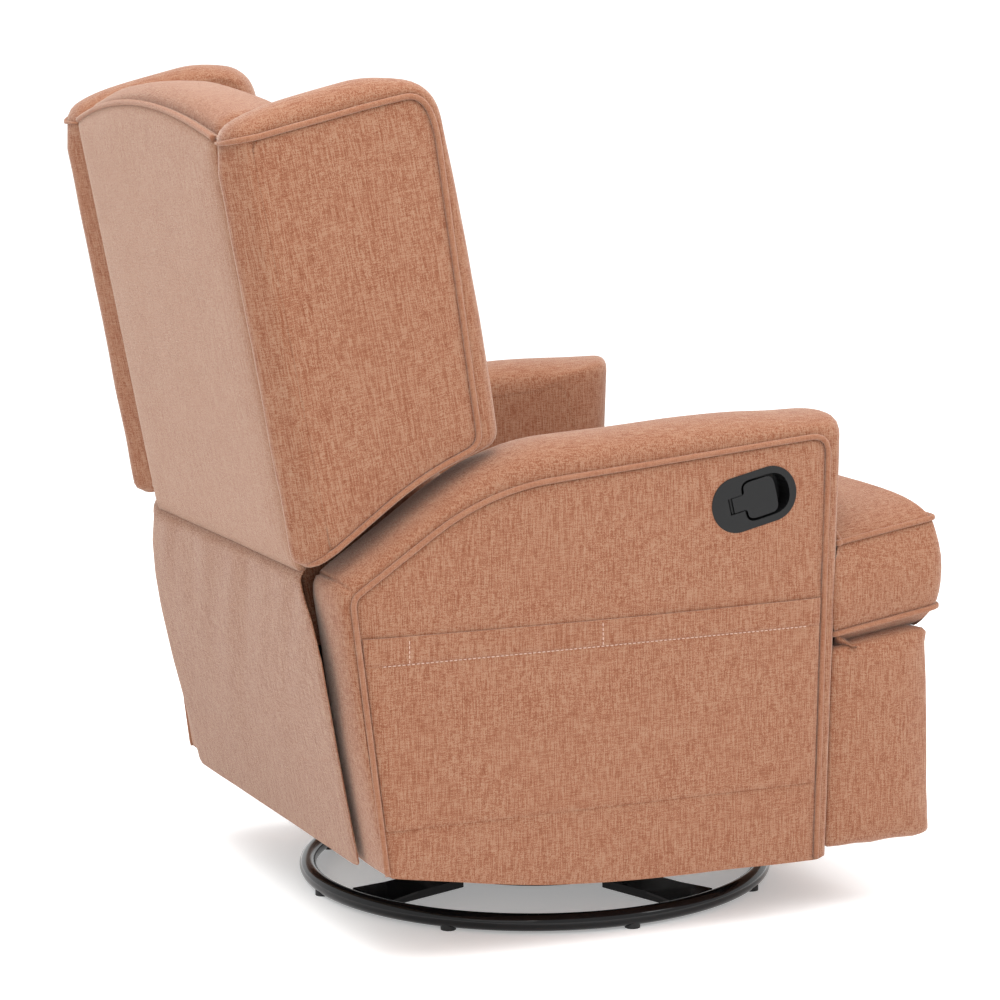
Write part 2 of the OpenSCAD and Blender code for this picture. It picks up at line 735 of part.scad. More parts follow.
module side_pocket() color([0.76, 0.51, 0.4]) {
    edge = 4 * pocket_room;
    sag = pocket_cloth_t;
    mouth = [2 * sag, 2 * over];
    outline = [
        [arm_aft_foot - edge + 2 * sag, pocket_low_h], [arm_aft - edge - 5 * sag, pocket_top_h],
        [-arm_fore_foot + edge - 4 * sag, pocket_top_h], [-arm_fore_foot + edge, pocket_low_h]
    ];
    difference() {
        standing(arm_out + gap / 2, pocket_room + pocket_cloth_t) polygon(outline);
        standing(arm_out - over, pocket_room + over) polygon([
            outline[0] + 2 * [-sag, sag], outline[1] + [-mouth[0], mouth[1]],
            outline[2] + mouth, outline[3] + 2 * [sag, sag]
        ]);
    }
}

module side_pocket_left() side_pocket();
module side_pocket_right() other_side() side_pocket();

// Seat, drawn along its slope from the front edge of the cushion's underside
module on_seat(drop) translate([0, -seat_fore, seat_fore_h]) rotate([-seat_slope, 0, 0])
    translate([0, seat_fore, -drop]) children();

module seat_cushion() color([0.8, 0.55, 0.43]) {
    mid = [0, -ear_back - 2 * seat_draw];
    lid = inset(seat_face, seat_draw);
    loft(concat(
        [on_slope(inset(seat_face, seat_draw / 2), 0)],
        [on_slope(seat_face, seat_draw / 3)],
        [on_slope(inset(seat_face, -seat_bulge), seat_box * 0.4)],
        [on_slope(inset(seat_face, seat_draw * 0.4), seat_box * 0.75)],
        [on_slope(lid, seat_box)],
        [for (s = [0.93, 0.84, 0.7, 0.5, 0.25])
            on_slope(shrink(lid, mid, s), seat_box + seat_crown * (1 - pow(s, 5)))]
    ), concat(on_slope([mid], 0), on_slope([mid], seat_box + seat_crown)));
}

module seat_deck() color([0.16, 0.15, 0.15]) on_seat(deck_t + gap)
    translate([-seat_half + deck_edge, spring_start - clip_w, 0])
        cube([2 * (seat_half - deck_edge), seat_aft - spring_start + clip_w, deck_t]);

// Sinuous wire springs under the deck
module seat_springs() color([0.62, 0.62, 0.64]) {
    turn_r = spring_pitch / 2;
    path = [for (k = [0:spring_loops - 1]) let (s = k % 2 == 0 ? 1 : -1) for (a = [-90:60:90])
        [s * (spring_wide + turn_r * cos(a)), spring_start + k * spring_pitch + turn_r * (1 + sin(a)), 0]];
    on_seat(deck_t + 2 * gap + spring_d / 2) for (x = spring_places) translate([x, 0, 0])
        sweep(path, spring_d / 2, 6);
}

module spring_clips() color([0.3, 0.3, 0.32]) on_seat(clip_drop)
    for (x = spring_places, y = [spring_start, spring_end]) translate([x - 0.75 * clip_w, y - clip_w / 2, 0])
        cube([1.5 * clip_w, clip_w, clip_h]);

module seat_front_rail() color([0.78, 0.63, 0.43]) on_seat(clip_drop + rail_h + fit)
    translate([-arm_in + gap, spring_start - 0.68 * rail_w, 0]) cube([2 * (arm_in - gap), rail_w, rail_h]);

module seat_rear_rail() color([0.78, 0.63, 0.43]) on_seat(clip_drop + rail_h + fit)
    translate([-mech_in + gap, spring_end - clip_w / 2, 0]) cube([2 * (mech_in - gap), rear_rail_d, rail_h]);

// Back, drawn from the seam: x, depth behind (positive) and length along the lean
module leaning() translate([0, seam_aft, seam_h]) rotate([-lean, 0, 0]) children();

module rear_rail() color([0.78, 0.63, 0.43]) leaning()
    translate([-arm_in + gap, -flap_t - gap - rear_rail_d, -flap_len + hem_lift])
        cube([2 * (arm_in - gap), rear_rail_d, rear_rail_h]);

module lower_back_flap() color([0.8, 0.58, 0.47]) leaning()
    translate([-back_half - flap_side, -flap_t, -flap_len])
        cube([2 * (back_half + flap_side), flap_t, flap_len - flap_t]);

module outer_back() color([0.8, 0.58, 0.47]) leaning() rotate([90, 0, 0]) linear_extrude(cover_t)
    polygon(concat([[-back_half, 0], [back_half, 0]], arch(back_half, back_len, back_arch, 14)));

module back_posts() color([0.78, 0.63, 0.43]) leaning() both_sides()
    translate([post_in, -post_back - post_d, post_low]) cube([post_w, post_d, post_top - post_low]);

module back_rails() color([0.78, 0.63, 0.43]) leaning()
    for (z = [post_low + back_rail_h / 2, 0.36 * post_top, post_top - back_rail_h])
        translate([-post_in + gap, -post_back - post_d, z]) cube([2 * (post_in - gap), post_d, back_rail_h]);

module back_webbing() color([0.2, 0.19, 0.19]) leaning() for (s = web_shares)
    translate([-post_in - post_w, -post_back - post_d - gap - web_t, s * back_len])
        cube([2 * (post_in + post_w), web_t, web_h]);

// Depth of the back cushion at a length along the lean
function back_depth(z) = z < 0
    ? back_low_d * (1 - back_tuck_share * z * z / (back_drop * back_drop))
    : mix(back_low_d, back_top_d, pow(z / back_len, 0.8));

// Ring of the back cushion: narrow between the arms, wide above them
function back_ring(inward, up, f) =
    let (
        half = back_half - flap_side - inward,
        low_half = seat_half - inward / 2,
        top = back_len + up,
        side = top - back_arch,
        foot = inward / 2 - back_drop,
        corners = [
            [-low_half, foot], [low_half, foot], [low_half, back_step], [half, back_step + back_roll],
            [half, side], [half * 0.55, top - back_arch * 0.3], [0, top], [-half * 0.55, top - back_arch * 0.3],
            [-half, side], [-half, back_step + back_roll], [-low_half, back_step]
        ],
        pts = soften(corners, back_roll * back_corner_shares, 2, 2)
    )
    [for (p = pts) [p[0], -post_back - f * (back_depth(p[1]) - post_back), p[1]]];

module back_cushion() color([0.8, 0.55, 0.43]) {
    rings = [for (r = back_ring_shares) back_ring(r[0] * back_roll, r[1] * back_roll, r[2])];
    front = rings[len(rings) - 1];
    centre = mean(front);
    room_half = post_in + post_w + plate_t + 2 * gap;
    leaning() difference() {
        loft(concat(rings, [for (s = [0.8, 0.55, 0.3]) [for (p = shrink(front, centre, s))
            [p[0], -post_back - (1 - 0.08 * pow(s, 4)) * (back_depth(p[2]) - post_back), p[2]]]]));
        translate([-room_half, -post_back - post_d - web_t - 3 * gap, -2 * back_drop])
            cube([2 * room_half, post_d + web_t + 4 * gap, 2 * back_drop + post_top + gap]);
    }
}

module wing() leaning() loft([for (k = [0:6])
    let (f = k * 30, side = f < 90 ? wing_face : wing_outer, b = f % 180 == 0 ? 0 : pow(sin(f), 0.8))
    on_x(
        [for (i = [0:len(wing_face) - 1]) mix(side[i], wing_crown[i], b)],
        wing_in + wing_w * (1 - cos(f)) / 2
    )]);

module wing_left() color([0.79, 0.54, 0.43]) wing();
module wing_right() color([0.79, 0.54, 0.43]) other_side() wing();

// Arm of the back, from its pivot to the foot of a post
module back_bracket() {
    p = to_back(recline_at);
    near = -post_back - post_d + plate_t;
    far = -post_back - plate_t;
    difference() {
        union() {
            standing(thigh_x, plate_t) polygon([
                p + [-boss_r, 0], p + 0.7 * [boss_r, -boss_r], [far, post_low], [far, post_low / 4],
                [near, post_low / 4], [near, post_low + back_rail_h]
            ]);
            rod(thigh_x, thigh_x + plate_t, p, boss_r);
        }
        rod(thigh_x - over, thigh_x + plate_t + over, p, pivot_r + fit);
    }
}

module back_brackets() color([0.09, 0.09, 0.1]) leaning() both_sides() back_bracket();

// Leg rest
module thigh_links() color([0.1, 0.1, 0.11]) both_sides() difference() {
    union() {
        bar(thigh_x, plate_t, knee_at, shin_start, 2 * boss_r, pivot_r + fit, pivot_r + fit);
        rod(thigh_x, thigh_x + plate_t, tube_at, boss_r);
    }
    rod(thigh_x - over, thigh_x + plate_t + over, tube_at, tube_r + fit);
}

module thigh_tube() color([0.1, 0.1, 0.11]) difference() {
    rod(-thigh_x - plate_t, thigh_x + plate_t, tube_at, tube_r);
    rod(-thigh_x - plate_t - over, thigh_x + plate_t + over, tube_at, tube_r - tube_wall);
}

module shin_links() color([0.1, 0.1, 0.11]) both_sides()
    bar(shin_x, plate_t, shin_start, shin_end, 2 * boss_r, pivot_r + fit, pivot_r + fit);

module link_rivets() color([0.7, 0.7, 0.72]) both_sides() {
    rivet(shin_x, thigh_x + plate_t, shin_start, pivot_r);
    rivet(claw_x, shin_x + plate_t, shin_end, pivot_r);
}

module leg_rest_brackets() color([0.1, 0.1, 0.11]) both_sides() {
    foot_y = gap - rest_back;
    difference() {
        union() {
            rod(claw_x, claw_x + plate_t, shin_end, boss_r);
            translate([claw_x, foot_y, shin_end[1] - boss_r]) cube([plate_t, shin_end[0] - foot_y, 2 * boss_r]);
            translate([claw_x - 2 * boss_r, foot_y, shin_end[1] - 4 * boss_r])
                cube([2 * boss_r + plate_t, sheet_t, 7 * boss_r]);
        }
        rod(claw_x - over, claw_x + plate_t + over, shin_end, pivot_r + fit);
    }
}

module leg_rest_board() color([0.72, 0.56, 0.36])
    translate([-ear_half + rest_edge, -rest_back - board_t, rest_low_h + rest_edge])
        cube([2 * (ear_half - rest_edge), board_t, rest_h - 2 * rest_edge]);

module leg_rest_pad() color([0.79, 0.54, 0.42]) {
    face = soften(
        [[-ear_half, 0], [ear_half, 0], [ear_half, rest_h], [-ear_half, rest_h]],
        rest_r * rest_corner_shares, 4, 4
    );
    mid = [0, rest_h / 2];
    lid = inset(face, rest_r);
    pocket = rest_edge - gap;
    translate([0, -rest_back, rest_low_h]) rotate([90, 0, 0]) difference() {
        loft(concat(
            [for (s = rest_shares) on_z(inset(face, s[0] * rest_r), s[1] * rest_t)],
            [on_z(shrink(lid, mid, 0.85), 0.99 * rest_t), on_z(shrink(lid, mid, 0.4), rest_t)]
        ));
        translate([-ear_half + pocket, pocket, -over])
            cube([2 * (ear_half - pocket), rest_h - 2 * pocket, board_t + gap + over]);
    }
}

// Release handle, drawn with x forward, y up and z out of the arm
module at_handle() translate([-arm_out, -handle_fore, handle_h]) rotate([90, 0, -90]) rotate(handle_tilt)
    children();

module stadium(l, h, t) {
    translate([(h - l) / 2, -h / 2, 0]) cube([l - h, h, t]);
    for (s = [-1, 1]) translate([s * (l - h) / 2, 0, 0]) cylinder(h = t, r = h / 2, $fn = ring_fn);
}

module bezel_hole() at_handle() translate([0, 0, -post_t])
    stadium(bezel_len - 2 * bezel_edge + 2 * gap, bezel_h - 2 * bezel_edge + 2 * gap, post_t + panel_t);

// A cylinder along the lever's hinge
module hinge_rod(half, r) translate([lever_pin_at, -half, lever_pin_z]) rotate([-90, 0, 0])
    cylinder(h = 2 * half, r = r, $fn = small_fn);

module handle_bezel() color([0.07, 0.07, 0.075]) at_handle() difference() {
    union() {
        translate([0, 0, gap]) stadium(bezel_len, bezel_h, bezel_lip);
        translate([0, 0, -well_d - bezel_wall])
            stadium(bezel_len - 2 * bezel_edge, bezel_h - 2 * bezel_edge, well_d + bezel_wall + gap + over);
    }
    translate([0, 0, -well_d]) linear_extrude(well_d + 2 * bezel_lip) polygon(well_face);
    translate([stem_at, -stem_h / 2 - slot_room, -slot_d])
        cube([well_aft - stem_at + 2 * over, stem_h + 2 * slot_room, slot_d + 2 * bezel_lip]);
    hinge_rod(lever_pin_half + gap, lever_pin_r + fit);
}

module pull_lever() color([0.09, 0.09, 0.095]) at_handle() difference() {
    union() {
        translate([0, 0, lever_low]) linear_extrude(lever_t) polygon(lever_face);
        hinge_rod(stem_h / 2, lever_r);
    }
    hinge_rod(stem_h, lever_pin_r + fit);
}

module lever_pin() color([0.7, 0.7, 0.72]) at_handle() hinge_rod(lever_pin_half, lever_pin_r);

module release_cable() color([0.05, 0.05, 0.05]) sweep(cable_route, cable_r, 8);

// Bell crank that frees the leg rest, from its tip by the tube's lug to the cable's end
module latch_pawl() color([0.45, 0.45, 0.47]) other_side() difference() {
    half = pawl_w / 2;
    tooth_at = tube_at + [boss_r + half + pawl_room, 0];
    standing(thigh_x, plate_t) polygon([
        tooth_at - [half, 0], tooth_at - [0, half], pawl_at - [0, half], pawl_at + [half, 0],
        cable_at + [half, half], cable_at + [-half, half], pawl_at + [-half, half], tooth_at + [0, half]
    ]);
    rod(thigh_x - over, thigh_x + plate_t + over, pawl_at, pawl_pin_r + fit);
}

placed() base_ring();
placed() base_cross();
placed() floor_glides();
placed() swivel_kingpin();
placed() lower_race();
placed() race_rivets();
placed() swivel_balls();
placed() upper_race();
placed() swivel_plate();
placed() glide_bracket_left();
placed() glide_bracket_right();
placed() upper_glide_pins();
placed() front_glide_links();
placed() rear_glide_links();
placed() lower_glide_pins();
placed() glide_rail_left();
placed() glide_rail_right();
placed() cross_beams();
placed() mechanism_plate_left();
placed() mechanism_plate_right();
placed() arm_bolts();
placed() arm_inner_panel_left();
placed() arm_inner_panel_right();
placed() arm_outer_panel_left();
placed() arm_outer_panel_right();
placed() arm_posts_left();
placed() arm_posts_right();
placed() arm_pad_left();
placed() arm_pad_right();
placed() side_pocket_left();
placed() side_pocket_right();
placed() seat_front_rail();
placed() seat_rear_rail();
placed() rear_rail();
placed() spring_clips();
placed() seat_springs();
placed() seat_deck();
placed() seat_cushion();
placed() handle_bezel();
placed() pull_lever();
placed() lever_pin();
placed() release_cable();
placed() latch_pawl();
placed() thigh_links();
placed() thigh_tube();
placed() shin_links();
placed() leg_rest_brackets();
placed() leg_rest_board();
placed() leg_rest_pad();
placed() mechanism_rivets();
placed() link_rivets();
placed() back_brackets();
placed() back_posts();
placed() back_rails();
placed() back_webbing();
placed() outer_back();
placed() back_cushion();
placed() wing_left();
placed() wing_right();
placed() lower_back_flap();
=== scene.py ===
import math

import bpy
import numpy as np
from bpy.props import FloatProperty, FloatVectorProperty, IntProperty, PointerProperty
from mathutils import Matrix, Vector, noise


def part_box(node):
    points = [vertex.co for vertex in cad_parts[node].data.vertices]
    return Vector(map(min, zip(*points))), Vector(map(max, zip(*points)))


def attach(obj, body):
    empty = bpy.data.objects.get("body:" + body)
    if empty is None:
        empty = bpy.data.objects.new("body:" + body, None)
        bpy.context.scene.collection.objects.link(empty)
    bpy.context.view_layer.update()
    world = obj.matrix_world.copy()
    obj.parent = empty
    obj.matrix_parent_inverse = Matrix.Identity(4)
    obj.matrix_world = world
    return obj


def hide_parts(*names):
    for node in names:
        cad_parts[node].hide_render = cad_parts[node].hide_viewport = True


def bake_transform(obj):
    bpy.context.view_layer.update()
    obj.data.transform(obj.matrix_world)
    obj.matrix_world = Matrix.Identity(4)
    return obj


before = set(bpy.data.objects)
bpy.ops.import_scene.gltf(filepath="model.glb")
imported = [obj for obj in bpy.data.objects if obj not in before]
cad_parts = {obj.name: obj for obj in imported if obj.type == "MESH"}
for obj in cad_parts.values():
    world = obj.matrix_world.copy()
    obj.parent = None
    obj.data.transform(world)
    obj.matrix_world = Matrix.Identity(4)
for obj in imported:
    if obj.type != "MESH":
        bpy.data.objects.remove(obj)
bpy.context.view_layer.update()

bl_info = {
    "name": "Swivel glider recliner",
    "version": (1, 0, 0),
    "blender": (4, 5, 0),
    "location": "3D View > Sidebar > Recliner",
    "description": "Upholstery, finishes, light and camera for the swivel glider recliner",
    "category": "Object",
}

RING_LOW, RING_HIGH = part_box("base_ring")
SWIVEL_Y = (RING_LOW.y + RING_HIGH.y) / 2

# Places below are in millimetres about the swivel axis: x across, y to the back, z up
LEAN = math.radians(10.54)
SEAM_BACK = (436.0, 494.0)
SEAT_SLOPE = math.radians(9.0)
SEAT_FRONT = (-405.0, 393.0)
ARM_IN, ARM_OUT = 264.0, 375.0
WING_IN, WING_OUT = 284.0, 349.0
BACK_HALF = 283.4
HANDLE_TILT = math.radians(13)
PLUMP_STEPS = 20
SHEET_SHARP = math.radians(50)
CORD_SIDES = 10


# Frames

def in_chair(points):
    """Metres in the shared frame from millimetres about the swivel axis."""
    return np.asarray(points, float) * 0.001 + np.array([0.0, SWIVEL_Y, 0.0])


def in_back(points):
    """Millimetres about the swivel axis from x, depth and length in the leaning back."""
    p = np.asarray(points, float)
    x, d, l = p[..., 0], p[..., 1], p[..., 2]
    y = SEAM_BACK[0] + d * math.cos(LEAN) + l * math.sin(LEAN)
    z = SEAM_BACK[1] - d * math.sin(LEAN) + l * math.cos(LEAN)
    return np.stack([x, y, z], -1)


def leaning(skin):
    """A skin made in the leaning back's depth and length, put in its place."""
    return in_back(skin[0]), skin[1]


def on_seat_slope(points):
    """Lifts points whose z is a height over the seat's sloping underside."""
    p = np.array(points, float)
    p[..., 2] += SEAT_FRONT[1] - (p[..., 1] - SEAT_FRONT[0]) * math.tan(SEAT_SLOPE)
    return p


# Outlines and skins

def rounded(corners, radii, bend_steps=16, side_steps=24):
    """A closed outline through corners, each softened over its own distance."""
    pts = np.asarray(corners, float)
    count = len(pts)
    arcs = []
    for i in range(count):
        before, at, after = pts[i - 1], pts[i], pts[(i + 1) % count]
        a = at + (before - at) * min(radii[i] / np.linalg.norm(before - at), 0.5)
        b = at + (after - at) * min(radii[i] / np.linalg.norm(after - at), 0.5)
        t = np.linspace(0, 1, bend_steps + 1)[:, None]
        arcs.append(a * (1 - t) ** 2 + 2 * at * t * (1 - t) + b * t * t)
    out = []
    for i in range(count):
        a, b = arcs[i][-1], arcs[(i + 1) % count][0]
        t = np.linspace(0, 1, side_steps + 1)[1:-1, None]
        out += [arcs[i], a + (b - a) * t]
    return np.concatenate(out)


def evenly(outlines, spacing, near=()):
    """Outlines of equal count, sampled together at an even spacing along the first one.
    Extra samples gather round the points named in near."""
    first = outlines[0]
    ring = np.vstack([first, first[:1]])
    run = np.concatenate([[0], np.cumsum(np.linalg.norm(np.diff(ring, axis=0), axis=1))])
    count = max(8, int(round(run[-1] / spacing)))
    at = list(np.linspace(0, run[-1], count, endpoint=False))
    for p in near:
        place = run[np.argmin(np.linalg.norm(first - np.asarray(p), axis=1))]
        at = [a for a in at if abs(a - place) > 7] + [place + o for o in (-5, -3, -1.5, 0, 1.5, 3, 5)]
    at = np.sort(np.mod(at, run[-1]))
    out = []
    for line in outlines:
        closed = np.vstack([line, line[:1]])
        out.append(np.stack([np.interp(at, run, closed[:, k]) for k in range(closed.shape[1])], -1))
    return out


def inward(outline):
    """Unit normals that point into a closed plane outline."""
    t = np.roll(outline, -1, axis=0) - np.roll(outline, 1, axis=0)
    t /= np.linalg.norm(t, axis=1)[:, None]
    n = np.stack([-t[:, 1], t[:, 0]], -1)
    area = np.sum(outline[:, 0] * np.roll(outline[:, 1], -1) - outline[:, 1] * np.roll(outline[:, 0], -1))
    return n if area > 0 else -n


def edge_distance(points, outline):
    """Least distance of each plane point from a closed outline."""
    a, b = outline, np.roll(outline, -1, axis=0)
    d = b - a
    best = np.full(len(points), 1e9)
    for i in range(len(a)):
        rel = points - a[i]
        t = np.clip(rel @ d[i] / max(d[i] @ d[i], 1e-9), 0, 1)
        best = np.minimum(best, np.linalg.norm(rel - t[:, None] * d[i], axis=1))
    return best


def progress(value, start, end):
    """How far a value has come from start to end, between 0 and 1."""
    return np.clip((value - start) / (end - start), 0, 1)


def eased(share):
    """A share from 0 to 1 with soft ends."""
    return share * share * (3 - 2 * share)


def waves(points, size, seed):
    """Smooth noise from -1 to 1 at each point; size is the length of a wave."""
    shift = Vector((seed * 7.3, seed * 3.1, seed * 5.7))
    return np.array([noise.noise(Vector(p) / size + shift) for p in np.asarray(points, float)])


def facing_out(places, faces):
    """The faces of a closed skin, turned so that they look outward."""
    p = np.asarray(places, float)
    p = p - p.mean(axis=0)
    corners = np.array([(f[0], f[i], f[i + 1]) for f in faces for i in range(1, len(f) - 1)])
    volume = np.sum(p[corners[:, 0]] * np.cross(p[corners[:, 1]], p[corners[:, 2]]))
    return faces if volume > 0 else [tuple(f)[::-1] for f in faces]


def smooth_part(name, skin, body, finish_name, sharp=None):
    """A mesh object from a skin's places, in millimetres about the swivel axis, and faces."""
    places, faces = skin
    mesh = bpy.data.meshes.new(name)
    faces = facing_out(places, faces)
    mesh.from_pydata([tuple(p) for p in in_chair(places)], [], [tuple(int(i) for i in f) for f in faces])
    mesh.validate()
    mesh.update()
    mesh.shade_smooth()
    part = bpy.data.objects.new(name, mesh)
    bpy.context.scene.collection.objects.link(part)
    mesh.materials.append(finish(finish_name))
    if sharp is not None:
        mesh.set_sharp_from_angle(angle=sharp)
    if body:
        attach(part, body)
    return part


def tube_faces(rings, count):
    """Faces between rings of equal count, open at both ends."""
    faces = []
    for j in range(rings - 1):
        a, b = j * count, (j + 1) * count
        for i in range(count):
            k = (i + 1) % count
            faces.append((a + i, b + i, b + k, a + k))
    return faces


def closed_skin(rows, start=None, end=None):
    """Places and faces over rows of equal count, each end fanned to a point, by default its middle."""
    count, size = len(rows[0]), len(rows) * len(rows[0])
    ends = [rows[0].mean(axis=0) if start is None else start, rows[-1].mean(axis=0) if end is None else end]
    faces = tube_faces(len(rows), count)
    faces += [(size, i, (i + 1) % count) for i in range(count)]
    last = size - count
    faces += [(size + 1, last + (i + 1) % count, last + i) for i in range(count)]
    return np.vstack(rows + [np.array(ends)]), faces


def sheet_skin(outer, inner, count):
    """Places and faces of a thin sheet whose two sides are given in rows of count places."""
    base, rows = len(outer), len(outer) // count
    faces = []
    for j in range(rows - 1):
        for i in range(count - 1):
            a, d = j * count + i, (j + 1) * count + i
            faces += [(a, a + 1, d + 1, d), (base + d, base + d + 1, base + a + 1, base + a)]
        for i in (0, count - 1):
            a, d = j * count + i, (j + 1) * count + i
            faces.append((a, d, base + d, base + a) if i == 0 else (d, a, base + a, base + d))
    for i in range(count - 1):
        for j in (0, rows - 1):
            a = j * count + i
            faces.append((a + 1, a, base + a, base + a + 1) if j == 0 else (a, a + 1, base + a + 1, base + a))
    return np.vstack([outer, inner]), faces


def cord_skin(path, radius, closed, sides):
    """Places and faces of a round cord along a path of close points."""
    p = np.asarray(path, float)
    n = len(p)
    ahead = np.roll(p, -1, axis=0) - np.roll(p, 1, axis=0)
    if not closed:
        ahead[0], ahead[-1] = p[1] - p[0], p[-1] - p[-2]
    t = ahead / np.linalg.norm(ahead, axis=1)[:, None]
    side = np.cross(t[0], [0.3, 0.2, 1.0])
    side /= np.linalg.norm(side)
    radii = np.broadcast_to(np.asarray(radius, float), (n,))
    places, turn = [], np.arange(sides) * 2 * math.pi / sides
    for i in range(n):
        side = side - t[i] * (side @ t[i])
        side /= np.linalg.norm(side)
        up = np.cross(t[i], side)
        places.append(p[i] + radii[i] * (np.outer(np.cos(turn), side) + np.outer(np.sin(turn), up)))
    if not closed:
        return closed_skin(places, p[0], p[-1])
    last, start = places[-1], places[0]
    order = min(range(sides), key=lambda s: np.linalg.norm(np.roll(start, -s, axis=0) - last))
    faces, a = tube_faces(n, sides), (n - 1) * sides
    for i in range(sides):
        k = (i + 1) % sides
        faces.append((a + i, (i + order) % sides, (k + order) % sides, a + k))
    return np.concatenate(places), faces


def gathered(pieces):
    """Several (places, faces) as one."""
    places, faces, base = [], [], 0
    for p, f in pieces:
        places.append(np.asarray(p, float))
        faces += [tuple(i + base for i in face) for face in f]
        base += len(p)
    return np.vstack(places), faces


def both_sides(skin):
    """The left piece's side and skin, and those of its mirror image on the right."""
    places, faces = skin
    right = np.array(places, float)
    right[:, 0] *= -1
    return ("left", skin), ("right", (right, [tuple(reversed(f)) for f in faces]))


def cut_from(outline, start, end):
    """The samples of a closed outline from the one nearest start on to the one nearest end."""
    first, last = (int(np.argmin(np.linalg.norm(outline - np.array(p), axis=1))) for p in (start, end))
    return np.arange(first, last + 1 if last > first else last + 1 + len(outline)) % len(outline)


def stitches(path, length, space, radius):
    """Short round stitches along an open path."""
    p = np.asarray(path, float)
    run = np.concatenate([[0], np.cumsum(np.linalg.norm(np.diff(p, axis=0), axis=1))])
    where = lambda s: np.array([np.interp(s, run, p[:, k]) for k in range(3)])
    pieces, s = [], space
    while s + length < run[-1]:
        ends = [where(s), where(s + length * 0.25), where(s + length * 0.75), where(s + length)]
        pieces.append(cord_skin(ends, [radius * 0.35, radius, radius, radius * 0.35], False, 6))
        s += length + space
    return gathered(pieces)


def pad_skin(face_in, face_out, crown, x_in, x_out, power, puff, seed, welted, inside=1.0, seams=(), roll=None):
    """A boxed pad: two flat panels and a crowned band between them.
    Outlines are in (depth, height) and the outer panel is at x_out. welted says for each sample
    how much of a seam runs there, and inside which share of it the inner panel has; roll is a
    rounded edge's share and width instead of a seam."""
    hub_out, hub_in = face_out.mean(axis=0), face_in.mean(axis=0)
    scales = np.concatenate([np.linspace(0.06, 0.9, 19), [0.93, 0.955, 0.975, 0.99]])
    rows, kinds, across = [], [], 16
    edge_in, edge_out = inward(face_in), inward(face_out)
    sewn_in = welted * inside
    tuck, tuck_in = 1.0 + 1.2 * welted[:, None], 1.0 + 1.2 * sewn_in[:, None]
    for s in scales:
        flat = hub_out + (face_out - hub_out) * s
        rows.append(np.column_stack([np.full(len(flat), x_out), flat]))
        kinds.append("out")
    rows.append(np.column_stack([x_out - 1.6 * welted, face_out + tuck * edge_out]))
    kinds.append("rim")
    for k in range(across + 1):
        f = math.pi * (1 - k / across)
        side = face_out if f > math.pi / 2 else face_in
        b = 0.0 if k in (0, across) else math.sin(f) ** power
        x = x_in + (x_out - x_in) * (1 - math.cos(f)) / 2
        share = np.full(len(side), b)
        if roll is not None:
            held, width = roll
            turn = np.clip(1 - (x_out - x) / width, 0, 1)
            share = share * (1 - held) + held * math.sqrt(max(0.0, 1 - turn * turn))
        edge = -2.6 * welted if k == 0 else 2.6 * sewn_in if k == across else 0 * welted
        rows.append(np.column_stack([x + edge, side + (crown - side) * share[:, None]]))
        kinds.append("band")
    rows.append(np.column_stack([x_in + 1.6 * sewn_in, face_in + tuck_in * edge_in]))
    kinds.append("rim")
    for s in scales[::-1]:
        flat = hub_in + (face_in - hub_in) * s
        rows.append(np.column_stack([np.full(len(flat), x_in), flat]))
        kinds.append("in")
    for row, kind in zip(rows, kinds):
        if kind in ("out", "in"):
            outline = face_out if kind == "out" else face_in
            d = edge_distance(row[:, 1:], outline)
            sign = 1 if kind == "out" else -1
            ease = np.exp(-d / 24)
            swell = puff * (1 - ease) + 0.8 * waves(row, 95, seed) * (1 - ease) \
                + 0.8 * waves(row, 26, seed + 2) * np.exp(-d / 20) * (1 - np.exp(-d / 4)) \
                - 1.6 * (welted if kind == "out" else sewn_in) * np.exp(-d / 5)
            row[:, 0] += sign * (swell if kind == "out" else np.minimum(swell, 1.2) * 0.4 - 0.4)
        elif kind == "band":
            row[:, 1:] -= inward(face_out) * (0.7 * waves(row, 60, seed + 4))[:, None]
    for p in seams:
        at = int(np.argmin(np.linalg.norm(face_out - np.asarray(p), axis=1)))
        for row, kind in zip(rows, kinds):
            if kind == "band":
                d = np.linalg.norm(row[:, 1:] - row[at, 1:], axis=1)
                dip = 2.6 * np.exp(-(d / 2.4) ** 2) + 1.0 * np.exp(-(d / 9) ** 2)
                row[:, 1:] += inward(face_out) * dip[:, None]
    return closed_skin(rows)


def plump(part, held, pressure, cap):
    """Blows a closed cover up as cloth by at most cap metres, keeping the places in held."""
    scene = bpy.context.scene
    rest = np.array([v.co for v in part.data.vertices], float)
    group = part.vertex_groups.new(name="held")
    for i, w in enumerate(held):
        if w > 0:
            group.add([i], float(w), "REPLACE")
    cloth = part.modifiers.new("Cover", "CLOTH")
    s = cloth.settings
    s.quality = 6
    s.mass = 0.3
    s.air_damping = 4.0
    s.tension_stiffness = s.compression_stiffness = 15.0
    s.shear_stiffness = 5.0
    s.bending_stiffness = 0.6
    s.use_pressure = True
    s.uniform_pressure_force = pressure
    s.effector_weights.gravity = 0.0
    s.vertex_group_mass = "held"
    s.pin_stiffness = 1.0
    cloth.point_cache.frame_start, cloth.point_cache.frame_end = 1, PLUMP_STEPS
    for step in range(1, PLUMP_STEPS + 1):
        scene.frame_set(step)
    solved = part.evaluated_get(bpy.context.evaluated_depsgraph_get())
    moved = np.array([v.co for v in solved.data.vertices], float) - rest
    part.modifiers.remove(cloth)
    part.vertex_groups.remove(group)
    far = np.linalg.norm(moved, axis=1)
    moved *= (cap * np.tanh(far / cap) / np.maximum(far, 1e-9))[:, None]
    part.data.vertices.foreach_set("co", (rest + moved).ravel())
    part.data.update()
    scene.frame_set(1)


# Materials

